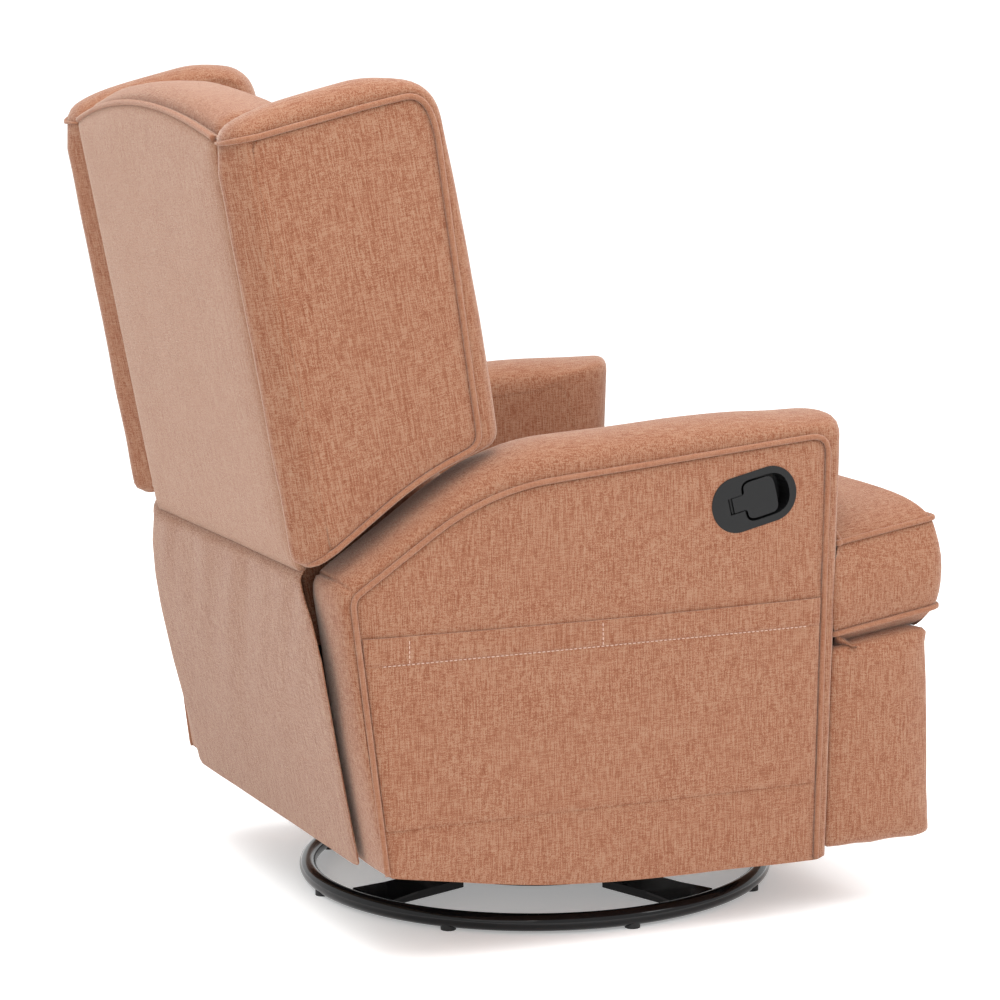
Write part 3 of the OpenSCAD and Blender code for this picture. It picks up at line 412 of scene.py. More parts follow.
class Recipe:
    """A material's node tree, written one line a node."""

    def __init__(self, name):
        self.material = bpy.data.materials.new(name)
        self.material.use_nodes = True
        self.tree = self.material.node_tree
        self.tree.nodes.clear()
        self.out = self.tree.nodes.new("ShaderNodeOutputMaterial")
        self.shader = self.add("ShaderNodeBsdfPrincipled")
        self.join(self.shader, "BSDF", self.out, "Surface")
        self.place = self.add("ShaderNodeTexCoord")

    def add(self, kind, sets=None, **props):
        node = self.tree.nodes.new(kind)
        for key, value in props.items():
            setattr(node, key, value)
        for key, value in (sets or {}).items():
            node.inputs[key].default_value = value
        return node

    def join(self, a, out, b, into):
        self.tree.links.new(a.outputs[out], b.inputs[into])

    def scaled(self, source, out, scale, turn=(0, 0, 0)):
        node = self.add("ShaderNodeMapping", {"Scale": scale, "Rotation": turn})
        self.join(source, out, node, "Vector")
        return node

    def noise(self, source, out, scale=1.0, detail=2.0, rough=0.5):
        node = self.add("ShaderNodeTexNoise", {"Scale": scale, "Detail": detail, "Roughness": rough})
        self.join(source, out, node, "Vector")
        return node

    def by_lie(self, lie, source, standing, lying):
        """Threads along the height of standing cloth and along the depth of lying cloth."""
        node = self.add("ShaderNodeMix", data_type="FLOAT")
        self.join(lie, 0, node, "Factor")
        for scale, into in ((standing, "A"), (lying, "B")):
            self.join(self.noise(self.scaled(source, "Vector", scale), "Vector", 1.0, 1.0, 0.5), 0, node, into)
        return node

    def sum(self, terms):
        """A half plus each (node, output, factor), centred on a half."""
        last = None
        for node, out, factor in terms:
            step = self.add("ShaderNodeMath", {1: factor, 2: 0.5 - 0.5 * factor}, operation="MULTIPLY_ADD")
            self.join(node, out, step, 0)
            if last is not None:
                offset = self.add("ShaderNodeMath", {1: -0.5 * factor}, operation="ADD")
                self.join(last, 0, offset, 0)
                self.join(offset, 0, step, 2)
            last = step
        return last

    def ramp(self, source, out, stops):
        node = self.add("ShaderNodeValToRGB")
        while len(node.color_ramp.elements) < len(stops):
            node.color_ramp.elements.new(0.5)
        for element, (at, colour) in zip(node.color_ramp.elements, stops):
            element.position = at
            element.color = (*colour, 1.0)
        self.join(source, out, node, "Fac")
        return node

    def bump(self, source, out, depth, strength=1.0):
        node = self.add("ShaderNodeBump", {"Strength": strength, "Distance": depth})
        self.join(source, out, node, "Height")
        self.join(node, "Normal", self.shader, "Normal")

    def colours(self, source, stops):
        """The base colour as a ramp over a node's value."""
        self.join(self.ramp(source, 0, stops), "Color", self.shader, "Base Color")

    def roughness(self, source, low, high, start=0.0, end=1.0):
        """The roughness from low to high as a node's value goes from start to end."""
        spread = self.add("ShaderNodeMapRange", {"From Min": start, "From Max": end, "To Min": low, "To Max": high})
        self.join(source, 0, spread, "Value")
        self.join(spread, 0, self.shader, "Roughness")

    def finished(self, sockets):
        """The material, once the shader's own sockets are set."""
        for key, value in sockets.items():
            self.shader.inputs[key].default_value = value
        return self.material


def shade(colour, factor, warm=0.0):
    """A colour made brighter or darker by a factor, and warmer or cooler."""
    return tuple(min(1.0, max(0.0, c * factor * (1 + w * warm))) for c, w in zip(colour, (1, -0.3, -1)))


def cover_cloth(name, tint=1.0, slub=1.0, speck=1.0, lean=0.0, warm=0.0, fine=1.0):
    """Linen-like upholstery cloth: long uneven warp slubs, short weft threads and a dry nap."""
    cover = bpy.context.scene.recliner_cover
    r = Recipe(name)
    base = shade(tuple(cover.cloth_colour), tint, warm)
    w = fine / cover.weave_width
    turned = r.scaled(r.place, "Object", (1, 1, 1), (lean, 0, 0))
    split = r.add("ShaderNodeSeparateXYZ")
    r.join(r.place, "Normal", split, "Vector")
    level = r.add("ShaderNodeMath", operation="ABSOLUTE")
    r.join(split, "Z", level, 0)
    lie = r.add("ShaderNodeMapRange", {"From Min": 0.6, "From Max": 0.8})
    r.join(level, 0, lie, "Value")
    warp = r.by_lie(lie, turned, (w, w, 0.07 * w), (w, 0.07 * w, w))
    weft = r.by_lie(lie, turned, (0.16 * w, 0.16 * w, 1.2 * w), (0.16 * w, 1.2 * w, w))
    grain = r.noise(turned, "Vector", 1.7 * w, 1.0, 0.6)
    cloud = r.noise(turned, "Vector", 14.0, 3.0, 0.6)
    tone = r.sum([(warp, 0, 1.5 * slub), (weft, 0, 1.1 * slub), (grain, 0, 2.2 * speck), (cloud, 0, 0.22)])
    r.colours(tone, [
        (0.05, shade(base, 0.5, 0.3)), (0.32, shade(base, 0.78, 0.12)), (0.52, base),
        (0.72, shade(base, 1.18, -0.09)), (0.95, shade(base, 1.4, -0.18)),
    ])
    height = r.sum([(warp, 0, 0.6), (weft, 0, 0.5), (grain, 0, 0.5)])
    r.bump(height, 0, cover.weave_depth, 0.7)
    return r.finished({"Roughness": 0.92, "Specular IOR Level": 0.18, "Sheen Weight": 0.38, "Sheen Roughness": 0.45,
                       "Sheen Tint": (1.0, 0.86, 0.76, 1.0)})


def coated_steel(name, colour, rough, gloss=0.0, shine=0.5):
    """Powder coat over pressed steel, with faint orange peel and dust on it."""
    r = Recipe(name)
    peel = r.noise(r.place, "Object", 420.0, 3.0, 0.55)
    dust = r.noise(r.place, "Object", 28.0, 4.0, 0.6)
    r.colours(dust, [(0.35, colour), (0.75, shade(colour, 1.5))])
    r.roughness(dust, rough * 0.8, rough * 1.3, 0.3, 0.8)
    r.bump(peel, 0, 0.00006, 0.5)
    return r.finished({"Specular IOR Level": shine, "Coat Weight": gloss, "Coat Roughness": 0.08})


def bare_metal(name):
    """Zinc-plated steel, brushed along its length."""
    r = Recipe(name)
    brushed = r.noise(r.scaled(r.place, "Object", (60, 900, 900)), "Vector", 1.0, 3.0, 0.6)
    r.colours(brushed, [(0.3, (0.42, 0.42, 0.43)), (0.7, (0.6, 0.6, 0.62))])
    r.roughness(brushed, 0.22, 0.45)
    r.bump(brushed, 0, 0.00005, 0.4)
    return r.finished({"Metallic": 1.0})


def moulded_plastic(name, colour, rough):
    """Moulded plastic with a fine spark-eroded texture."""
    r = Recipe(name)
    fine = r.noise(r.place, "Object", 1500.0, 2.0, 0.6)
    worn = r.noise(r.place, "Object", 55.0, 3.0, 0.6)
    r.colours(fine, [(0.35, shade(colour, 0.75)), (0.6, colour), (0.78, shade(colour, 1.9))])
    r.roughness(worn, rough * 0.85, rough * 1.15, 0.3, 0.75)
    r.bump(fine, 0, 0.00012, 0.6)
    return r.finished({"Specular IOR Level": 0.3})


def sawn_wood(name, pale, dark, rings):
    """Frame timber or plywood with grain along its length."""
    r = Recipe(name)
    grain = r.add("ShaderNodeTexWave", {"Scale": rings, "Distortion": 5.0, "Detail": 3.0, "Detail Scale": 1.4},
                  wave_type="BANDS", bands_direction="X")
    r.join(r.scaled(r.place, "Object", (1.0, 0.25, 0.12)), "Vector", grain, "Vector")
    fibre = r.noise(r.scaled(r.place, "Object", (500, 500, 40)), "Vector", 1.0, 3.0, 0.6)
    tone = r.sum([(grain, "Fac", 0.5), (fibre, 0, 0.5)])
    r.colours(tone, [(0.2, dark), (0.8, pale)])
    r.bump(fibre, 0, 0.0002, 0.5)
    return r.finished({"Roughness": 0.75})


def woven_felt(name, colour):
    """Pressed deck felt and elastic webbing."""
    r = Recipe(name)
    fuzz = r.noise(r.place, "Object", 700.0, 4.0, 0.75)
    r.colours(fuzz, [(0.3, shade(colour, 0.6)), (0.7, shade(colour, 1.5))])
    r.bump(fuzz, 0, 0.0006, 0.7)
    return r.finished({"Roughness": 0.95})


def sewing_thread(name):
    """Pale twisted sewing thread."""
    r = Recipe(name)
    twist = r.noise(r.place, "Object", 2200.0, 2.0, 0.6)
    r.colours(twist, [(0.3, (0.42, 0.27, 0.21)), (0.7, (0.66, 0.5, 0.43))])
    r.bump(twist, 0, 0.0002, 0.5)
    return r.finished({"Roughness": 0.8})


MATERIALS = {}


def finish(name):
    """The shared finish of that name, made when it is first asked for."""
    steel = bpy.context.scene.recliner_hardware
    makers = {
        "side cloth": lambda: cover_cloth("side_cloth", 1.0, 1.15, 1.3),
        "leaning cloth": lambda: cover_cloth("leaning_cloth", 1.0, 1.15, 1.3, LEAN),
        # The outer back's cloth is the cover cloth made paler and cooler (tint 1.14, warm -0.08): painted sheen for
        # the light its nap catches on the back.
        "back cloth with painted sheen": lambda: cover_cloth("back_cloth_painted_sheen", 1.14, 0.65, 1.2, LEAN, -0.08),
        # The flap's cloth is the cover cloth made darker and a little cooler (tint 0.94, warm -0.02): painted shade,
        # with a little painted sheen, for the light on the low flap.
        "flap cloth with painted shade": lambda: cover_cloth("flap_cloth_painted_shade", 0.94, 1.9, 2.2, LEAN, -0.02),
        "welt cloth": lambda: cover_cloth("welt_cloth", 1.02, 0.6, 0.9, 0, 0, 1.3),
        "ring steel": lambda: coated_steel("ring_steel", tuple(steel.ring_colour), 0.14, 0.18, 0.2),
        "black steel": lambda: coated_steel("black_steel", (0.012, 0.012, 0.013), 0.42),
        "bare steel": lambda: bare_metal("bare_steel"),
        "handle plastic": lambda: moulded_plastic("handle_plastic", tuple(steel.handle_colour), 0.42),
        "glide plastic": lambda: moulded_plastic("glide_plastic", (0.02, 0.02, 0.021), 0.5),
        "cable plastic": lambda: moulded_plastic("cable_plastic", (0.012, 0.012, 0.013), 0.35),
        "timber": lambda: sawn_wood("timber", (0.62, 0.42, 0.24), (0.4, 0.24, 0.12), 30.0),
        "plywood": lambda: sawn_wood("plywood", (0.56, 0.38, 0.21), (0.42, 0.26, 0.13), 55.0),
        "deck felt": lambda: woven_felt("deck_felt", (0.03, 0.028, 0.028)),
        "thread": lambda: sewing_thread("thread"),
    }
    if name not in MATERIALS:
        MATERIALS[name] = makers[name]()
    return MATERIALS[name]


# Settings a user would change

class CoverSettings(bpy.types.PropertyGroup):
    """Sizes and colour of the upholstery."""
    cloth_colour: FloatVectorProperty(name="Cloth colour", description="Colour of the cover cloth",
                                      default=(0.25, 0.109, 0.061), size=3, subtype="COLOR", min=0, max=1)
    weave_width: FloatProperty(name="Weave width", description="Width of one slub of the cloth",
                               default=0.0015, unit="LENGTH")
    weave_depth: FloatProperty(name="Weave depth", description="Relief of the cloth",
                               default=0.0011, unit="LENGTH")
    welt_radius: FloatProperty(name="Welt radius", description="Radius of the piping",
                               default=0.0037, unit="LENGTH")
    panel_puff: FloatProperty(name="Panel puff", description="How far a side panel swells past its seams",
                              default=0.003, unit="LENGTH")
    stitch_length: FloatProperty(name="Stitch length", description="Length of a stitch on the pocket hems",
                                 default=0.0042, unit="LENGTH")
    pressure: FloatProperty(name="Filling pressure", description="Pressure that plumps the loose covers",
                            default=4.0, min=0)


class HardwareSettings(bpy.types.PropertyGroup):
    """Finishes of the base and the handle."""
    ring_colour: FloatVectorProperty(name="Base colour", description="Colour of the base's coating",
                                     default=(0.004, 0.004, 0.0045), size=3, subtype="COLOR", min=0, max=1)
    handle_colour: FloatVectorProperty(name="Handle colour", description="Colour of the handle's plastic",
                                       default=(0.004, 0.004, 0.0043), size=3, subtype="COLOR", min=0, max=1)
    edge_width: FloatProperty(name="Edge rounding", description="Rounding of the edges of the base's cross",
                              default=0.0008, unit="LENGTH")
    ring_steps: IntProperty(name="Ring steps", description="Segments round the base ring", default=192, min=24)


class StageSettings(bpy.types.PropertyGroup):
    """Camera, floor and lights."""
    eye: FloatVectorProperty(name="Camera place", description="Camera's place from the swivel axis on the floor",
                             default=(-3.9771, 1.7600, 1.2082), size=3, subtype="TRANSLATION", unit="LENGTH")
    heading: FloatProperty(name="Heading", description="Camera's heading from +Y towards +X",
                           default=math.radians(113.30), subtype="ANGLE", unit="ROTATION")
    pitch: FloatProperty(name="Pitch", description="How far the camera looks down",
                         default=math.radians(9.17), subtype="ANGLE", unit="ROTATION")
    roll: FloatProperty(name="Roll", description="Camera's roll", default=math.radians(-0.43),
                        subtype="ANGLE", unit="ROTATION")
    lens: FloatProperty(name="Lens", description="Focal length in millimetres", default=119.08)
    floor_half: FloatProperty(name="Floor size", description="Half the floor's width", default=180.0, unit="LENGTH")
    key_power: FloatProperty(name="Key light", description="Power of the large overhead light", default=139.0)
    fill_power: FloatProperty(name="Fill light", description="Power of the light behind the camera", default=16.0)
    floor_glow: FloatProperty(name="Floor glow", description="Lifts the floor to the room's white", default=0.3)
    front_power: FloatProperty(name="Front light", description="Power of the light over the seat", default=62.0)
    strip_power: FloatProperty(name="Strip light", description="Power of the narrow light on the base", default=12.0)
    sky: FloatProperty(name="Sky", description="Strength of the light from all round", default=1.0)


# Arms

ARM_CORNERS = np.array([(360, 124), (400, 469), (225, 587), (-240, 627), (-226, 79), (128, 84)], float)
ARM_ROUNDING = [7, 12, 88, 26, 5, 122]
ARM_CROWN = ARM_CORNERS + [(1.7, 0), (16, 20), (-29, 52.7), (-37, 25), (-32, 0), (0, 0)]
ARM_CROWN_ROUNDING = [7, 12, 88, 17, 5, 122]
ARM_SEAM = (398, 473)
BEZEL_RIM, BEZEL_LAP = 0.002, 0.003


def arm_outlines():
    """The panel's outline and the crown of the band, sampled alike."""
    face = rounded(ARM_CORNERS, ARM_ROUNDING)
    crown = rounded(ARM_CROWN, ARM_CROWN_ROUNDING)
    face, crown = evenly([face, crown], 8.0, near=[ARM_SEAM])
    swell = 7.0 * progress(face[:, 1], 135, 265) * progress(face[:, 1], 478, 448)
    crown[:, 0] += np.where(face[:, 0] > 355, swell, 0)
    crown[:, 1] += 6.5 * progress(crown[:, 1], 600, 620) * np.exp(-((crown[:, 0] + 95) / 115) ** 2)
    return face, crown


class RECLINER_OT_arms(bpy.types.Operator):
    """Padded arms: two panels, a crowned band, piping and the seam at the back corner"""
    bl_idname = "recliner.arms"
    bl_label = "Arms"

    def execute(self, context):
        cover = context.scene.recliner_cover
        face, crown = arm_outlines()
        order = cut_from(face, ARM_CORNERS[0], ARM_CORNERS[4])
        welted = np.zeros(len(face))
        welted[order] = 1.0
        places, faces = pad_skin(face, face, crown, ARM_IN, ARM_OUT, 0.7, cover.panel_puff * 1000, 1, welted,
                                 inside=0.0, seams=[ARM_SEAM])
        inner_edge = np.clip(1 - (places[:, 0] - ARM_IN) / 26, 0, 1)
        turned = 36 * progress(places[:, 2], 500, 630) * inner_edge ** 3
        fore = progress(places[:, 1], -120, -230)
        places[:, 1] += (0.33 * (ARM_OUT - places[:, 0]) + turned) * eased(fore)
        path = np.column_stack([np.full(len(order), ARM_OUT + 0.9), face[order]])
        welt = cord_skin(path, cover.welt_radius * 1000, False, CORD_SIDES)
        for (side, pad), (_, cord) in zip(both_sides((places, faces)), both_sides(welt)):
            part = smooth_part(f"arm_cover_{side}", pad, "chair", "side cloth")
            if side == "right":
                self.handle_hole(part)
            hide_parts(f"arm_pad_{side}")
            smooth_part(f"arm_piping_{side}", cord, "chair", "welt cloth")
        return {"FINISHED"}

    def handle_hole(self, part):
        """Cuts the opening for the handle's bezel."""
        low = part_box("handle_bezel")[0]
        lid = [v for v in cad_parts["handle_bezel"].data.vertices if v.co.x < low.x + BEZEL_RIM]
        rim = np.array([(v.co.y, v.co.z) for v in lid])
        hub = (rim.max(axis=0) + rim.min(axis=0)) / 2
        out = rim - hub
        along = np.array([-math.cos(HANDLE_TILT), math.sin(HANDLE_TILT)])
        up = np.array([math.sin(HANDLE_TILT), math.cos(HANDLE_TILT)])
        half, tall = abs(out @ along).max() - BEZEL_LAP, abs(out @ up).max() - BEZEL_LAP
        turn = np.linspace(-math.pi / 2, math.pi / 2, 17)
        right = [((half - tall) + tall * math.cos(t), tall * math.sin(t)) for t in turn]
        ring = right + [(-a, -b) for a, b in right]
        places, n = [], len(ring)
        for x in (low.x - 0.02, low.x + 0.034):
            places += [(x, *(hub + a * along + b * up)) for a, b in ring]
        faces = [tuple(range(n))[::-1], tuple(range(n, 2 * n))]
        faces += [(i, (i + 1) % n, n + (i + 1) % n, n + i) for i in range(n)]
        mesh = bpy.data.meshes.new("handle_cutter")
        mesh.from_pydata(places, [], facing_out(places, faces))
        cutter = bpy.data.objects.new("handle_cutter", mesh)
        bpy.context.scene.collection.objects.link(cutter)
        cut = part.modifiers.new("handle_opening", "BOOLEAN")
        cut.operation, cut.solver, cut.object = "DIFFERENCE", "EXACT", cutter
        solved = part.evaluated_get(bpy.context.evaluated_depsgraph_get())
        part.data = bpy.data.meshes.new_from_object(solved)
        part.modifiers.clear()
        bpy.data.objects.remove(cutter)
        bpy.data.meshes.remove(mesh)
        part.data.set_sharp_from_angle(angle=math.radians(60))


# Side pockets

POCKET_LOW, POCKET_TOP, POCKET_STITCH = 182.0, 420.0, 385.0


def arm_edge_at(z, rear):
    """y of the arm's piping at a height, at its rear or front edge."""
    (start, low), (end, high) = ARM_CORNERS[[0, 1]] if rear else ARM_CORNERS[[4, 3]]
    return start + (z - low) * (end - start) / (high - low)


class RECLINER_OT_pockets(bpy.types.Operator):
    """Side pockets: a flat cloth panel with a stitched hem, sewn down at three edges"""
    bl_idname = "recliner.pockets"
    bl_label = "Side pockets"

    def execute(self, context):
        cover = context.scene.recliner_cover
        heights = np.concatenate([
            [POCKET_LOW, POCKET_LOW + 0.8, POCKET_LOW + 3], np.linspace(190, 378, 24),
            [381, 383.5, 385, 386.5, 389], np.linspace(393, 414, 4), [417.5, 419.4, 420.0],
        ])
        across = np.concatenate([[0, 0.004, 0.012], np.linspace(0.03, 0.97, 64), [0.988, 0.996, 1]])
        rows = []
        for z in heights:
            low, high = arm_edge_at(z, False) + 5.5, arm_edge_at(z, True) - 5.5
            y = low + (high - low) * across
            hem = progress(z, POCKET_STITCH, POCKET_STITCH + 3)
            x = np.full(len(y), ARM_OUT + 4.6 + 0.9 * hem)
            x -= 0.9 * math.exp(-((z - POCKET_STITCH) / 1.6) ** 2)
            x -= 0.8 * math.exp(-((z - POCKET_LOW) / 1.5) ** 2)
            from_edge = np.minimum(y - low, high - y)
            x -= 3.4 * np.exp(-from_edge / 5.0)
            flat = np.column_stack([x, y, np.full(len(y), z)])
            x += 0.5 * waves(flat, 70, 11) * (1 - np.exp(-from_edge / 12)) * (1 if z < 415 else 0.4)
            top_sag = 2.2 * max(0.0, (z - 380) / 40) * np.sin(math.pi * across)
            rows.append(np.column_stack([x, y, z - top_sag]))
        outer = np.vstack(rows)
        inner = outer.copy()
        inner[:, 0] -= np.where(outer[:, 2] > 384, 1.9, 1.2)
        cloth = sheet_skin(outer, inner, len(across))
        seam = rows[int(np.argmin(abs(heights - POCKET_STITCH)))][3:-3] + [0.35, 0, 0]
        length = cover.stitch_length * 1000
        thread = [stitches(seam, length, 1.9, 0.5)]
        for y in (330.0, 75.0):
            bar = np.array([(ARM_OUT + 5.6, y, z) for z in np.linspace(POCKET_STITCH, POCKET_TOP - 3, 12)])
            thread.append(stitches(bar, length, 1.6, 0.5))
        for (side, panel), (_, sewing) in zip(both_sides(cloth), both_sides(gathered(thread))):
            part = smooth_part(f"pocket_cloth_{side}", panel, "chair", "side cloth", SHEET_SHARP)
            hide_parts(f"side_pocket_{side}")
            sewn = smooth_part(f"pocket_stitches_{side}", sewing, "chair", "thread")
        return {"FINISHED"}


# Wings

WING_CORNERS = np.array([(0, 10), (0, 524), (-189.4, 532), (-256, 532), (-236, 104), (-150, 83)], float)
WING_ROUNDING = [10, 14.5, 32, 67, 17, 50]
WING_CROWN = WING_CORNERS + [(0, -3), (-2.9, 31.5), (-8.7, 31), (-15, 10), (-39, -6), (-10, -6)]
CROWN_ROUNDING = [10, 14.5, 32, 38, 17, 50]
WING_EDGE, WING_ROLL = 24.0, 34.0
WING_FOOT_SLOPE = 0.487


class RECLINER_OT_wings(bpy.types.Operator):
    """Wings: panels that wrap the back corner, a crowned band and piping on three edges"""
    bl_idname = "recliner.wings"
    bl_label = "Wings"

    def execute(self, context):
        cover = context.scene.recliner_cover
        inner, outer, crown = evenly([
            rounded(WING_CORNERS, WING_ROUNDING),
            rounded(WING_CORNERS + [(-WING_EDGE, WING_EDGE * WING_FOOT_SLOPE), (-WING_EDGE, 0), *[(0, 0)] * 4],
                    WING_ROUNDING),
            rounded(WING_CROWN, CROWN_ROUNDING),
        ], 7.0)
        crown[:, 1] -= 20 * progress(crown[:, 1], 480, 510) * np.exp(np.minimum(crown[:, 0], 0) / 32)
        front = progress(crown[:, 0], -200, -230)
        crown[:, 0] -= 7 * front * np.sin(math.pi * progress(crown[:, 1], 98, 538)) ** 0.7
        rear = progress(inner[:, 0], -12, -4) * progress(inner[:, 1], 20, 40) * progress(inner[:, 1], 522, 502)
        places, faces = pad_skin(inner, outer, crown, WING_IN, WING_OUT, 0.8, cover.panel_puff * 1000 + 1, 6,
                                 1 - rear, roll=(rear, WING_ROLL))
        valley = np.exp(-np.maximum(places[:, 0] - WING_IN, 0) / 7) * progress(places[:, 1], -30, 0)
        places[:, 1] -= 4.5 * valley
        bulge = np.exp(-((places[:, 0] - 315) / 18) ** 2) * progress(places[:, 1], -20, 0)
        bulge *= progress(places[:, 2], 4, 20) * progress(places[:, 2], 548, 488)
        places[:, 1] += 14 * bulge
        fore = progress(places[:, 1], -130, -220)
        places[:, 1] += 0.3 * (WING_OUT - places[:, 0]) * eased(fore)
        radius = cover.welt_radius * 1000
        line = outer[cut_from(outer, (-34, 525), (-34, 27))]
        path = np.column_stack([np.full(len(line), WING_OUT + 0.9), line])
        across = [-63, -48, -30, -18, -8, -2.5, -0.2]
        over_depth, under_depth = [-4, 1, 4, -0.5, -7.5, -14.5, -21], [-5, -1, 0, -2.5, -8, -14.5, -21]
        over = np.array([(WING_OUT + a, d, 521 + 0.06 * (63 + a)) for a, d in zip(across, over_depth)])
        under = np.array([(WING_OUT + a, d, 11 - WING_FOOT_SLOPE * d) for a, d in zip(across, under_depth)])[::-1]
        path = np.vstack([over, path, under])
        sizes = np.full(len(path), radius)
        sizes[:5] = radius * np.array([0.45, 0.55, 0.7, 0.85, 0.95])
        sizes[-5:] = sizes[:5][::-1]
        welt = leaning(cord_skin(path, sizes, False, CORD_SIDES))
        for (side, pad), (_, cord) in zip(both_sides(leaning((places, faces))), both_sides(welt)):
            part = smooth_part(f"wing_cover_{side}", pad, "backrest", "leaning cloth")
            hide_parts(f"wing_{side}")
            smooth_part(f"wing_piping_{side}", cord, "backrest", "welt cloth")
        return {"FINISHED"}


# Back

BACK_TOP, BACK_ARCH = 558, 33
CUSHION_REAR, CUSHION_DEPTH, CUSHION_TOP_DEPTH, CUSHION_FOOT = 12.6, 232, 150, 118
FLAP_LENGTH, FLAP_THICKNESS = 378, 1.7


def back_top(x):
    """Length of the top piping along the lean at a distance across."""
    r = (BACK_HALF ** 2 + BACK_ARCH ** 2) / (2 * BACK_ARCH)
    return BACK_TOP - r + np.sqrt(np.maximum(r * r - np.asarray(x, float) ** 2, 0))


def back_depth(z):
    """Depth of the back cushion at a length along the lean."""
    z = np.asarray(z, float)
    low = CUSHION_DEPTH * (1 - 0.043 * z * z / CUSHION_FOOT ** 2)
    high = CUSHION_DEPTH + (CUSHION_TOP_DEPTH - CUSHION_DEPTH) * np.power(np.clip(z / BACK_TOP, 0, 1.2), 0.8)
    return np.where(z < 0, low, high)


class RECLINER_OT_outer_back(bpy.types.Operator):
    """Outer back: a padded panel between the wings, its top piping and the cloth flap under it"""
    bl_idname = "recliner.outer_back"
    bl_label = "Outer back"

    def execute(self, context):
        radius = context.scene.recliner_cover.welt_radius * 1000
        top = [(x, float(back_top(x))) for x in np.linspace(BACK_HALF, -BACK_HALF, 25)]
        corners = [(-BACK_HALF, -6.0), (0.0, -8.0), (BACK_HALF, -12.0)] + top
        outline = evenly([rounded(corners, [3, 60, 3] + [6] * len(top), 4, 6)], 9.0)[0]
        hub = outline.mean(axis=0)
        rows = []
        for s in np.concatenate([np.linspace(0.05, 0.88, 22), [0.91, 0.94, 0.96, 0.975, 0.988, 1.0]]):
            flat = hub + (outline - hub) * s
            d = edge_distance(flat, outline)
            swell = 4.5 * (1 - np.exp(-d / 30)) - 4.5 * np.exp(-d / 6)
            row = np.column_stack([flat[:, 0], swell, flat[:, 1]])
            row[:, 1] += 0.9 * waves(row, 110, 21) * (1 - np.exp(-d / 20))
            rows.append(row)
        rows.append(np.column_stack([outline[:, 0], np.full(len(outline), -11.8), outline[:, 1]]))
        # The outer back wears the paler, cooler copy of the cover cloth: painted sheen.
        part = smooth_part("outer_back_cover", leaning(closed_skin(rows)), "backrest", "back cloth with painted sheen")
        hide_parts("outer_back")
        xs = np.linspace(-BACK_HALF + 2, BACK_HALF - 2, 90)
        path = np.column_stack([xs, np.full(len(xs), -3.5), back_top(xs) + 0.5])
        smooth_part("back_piping", leaning(cord_skin(path, radius, False, CORD_SIDES)), "backrest", "welt cloth")
        self.flap()
        return {"FINISHED"}

    def flap(self):
        """The loose cloth from the back's cross seam to the hem."""
        lengths = np.concatenate([
            [-1, -4, -7, -10, -13, -16], np.linspace(-21, -360, 46), [-366, -371, -375, -FLAP_LENGTH],
        ])
        half = np.interp(-lengths, [1, 8, 16, 58, 110, 163, 230, 281, 360, 371, 376, FLAP_LENGTH],
                         [284, 286, 289, 316, 330, 330, 324, 318, 312, 311, 309, 304])
        across = np.linspace(-1, 1, 79)
        rows = []
        for l, h in zip(lengths, half):
            x = across * h
            seam = -8.0 - 3.0 * across
            tucked = 9.0 / (1 + np.exp((seam - 2 - l) / 2.2))
            edge = (1 - np.abs(across)) * h
            hem = progress(l, -280, -FLAP_LENGTH)
            out = np.interp(-l, [0, 20, 60, 150, 230, 300, FLAP_LENGTH], [1, 5, 7.5, 11, 10.5, 8.5, 6])
            row = np.column_stack([x, out - tucked, l - hem * 2.5 * across])
            fold = np.exp(-abs(l + 8) / 110.0) * 4.5
            row[:, 1] += fold * waves(np.column_stack([x + 0.55 * l, x * 0, 0.25 * l + x * 0]), 62, 31) \
                * min(1, max(0, -l / 30))
            row[:, 1] += 1.1 * waves(row, 120, 33) * min(1, max(0, -l / 40)) - 1.6 * np.exp(-edge / 4.0)
            rows.append(row)
        outer = np.vstack(rows)
        cloth = leaning(sheet_skin(outer, outer - [0, FLAP_THICKNESS, 0], len(across)))
        # The flap wears the darker, slightly cooler copy of the cover cloth: painted shade and a little painted
        # sheen.
        part = smooth_part("back_flap", cloth, None, "flap cloth with painted shade", SHEET_SHARP)
        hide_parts("lower_back_flap")
        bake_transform(part)


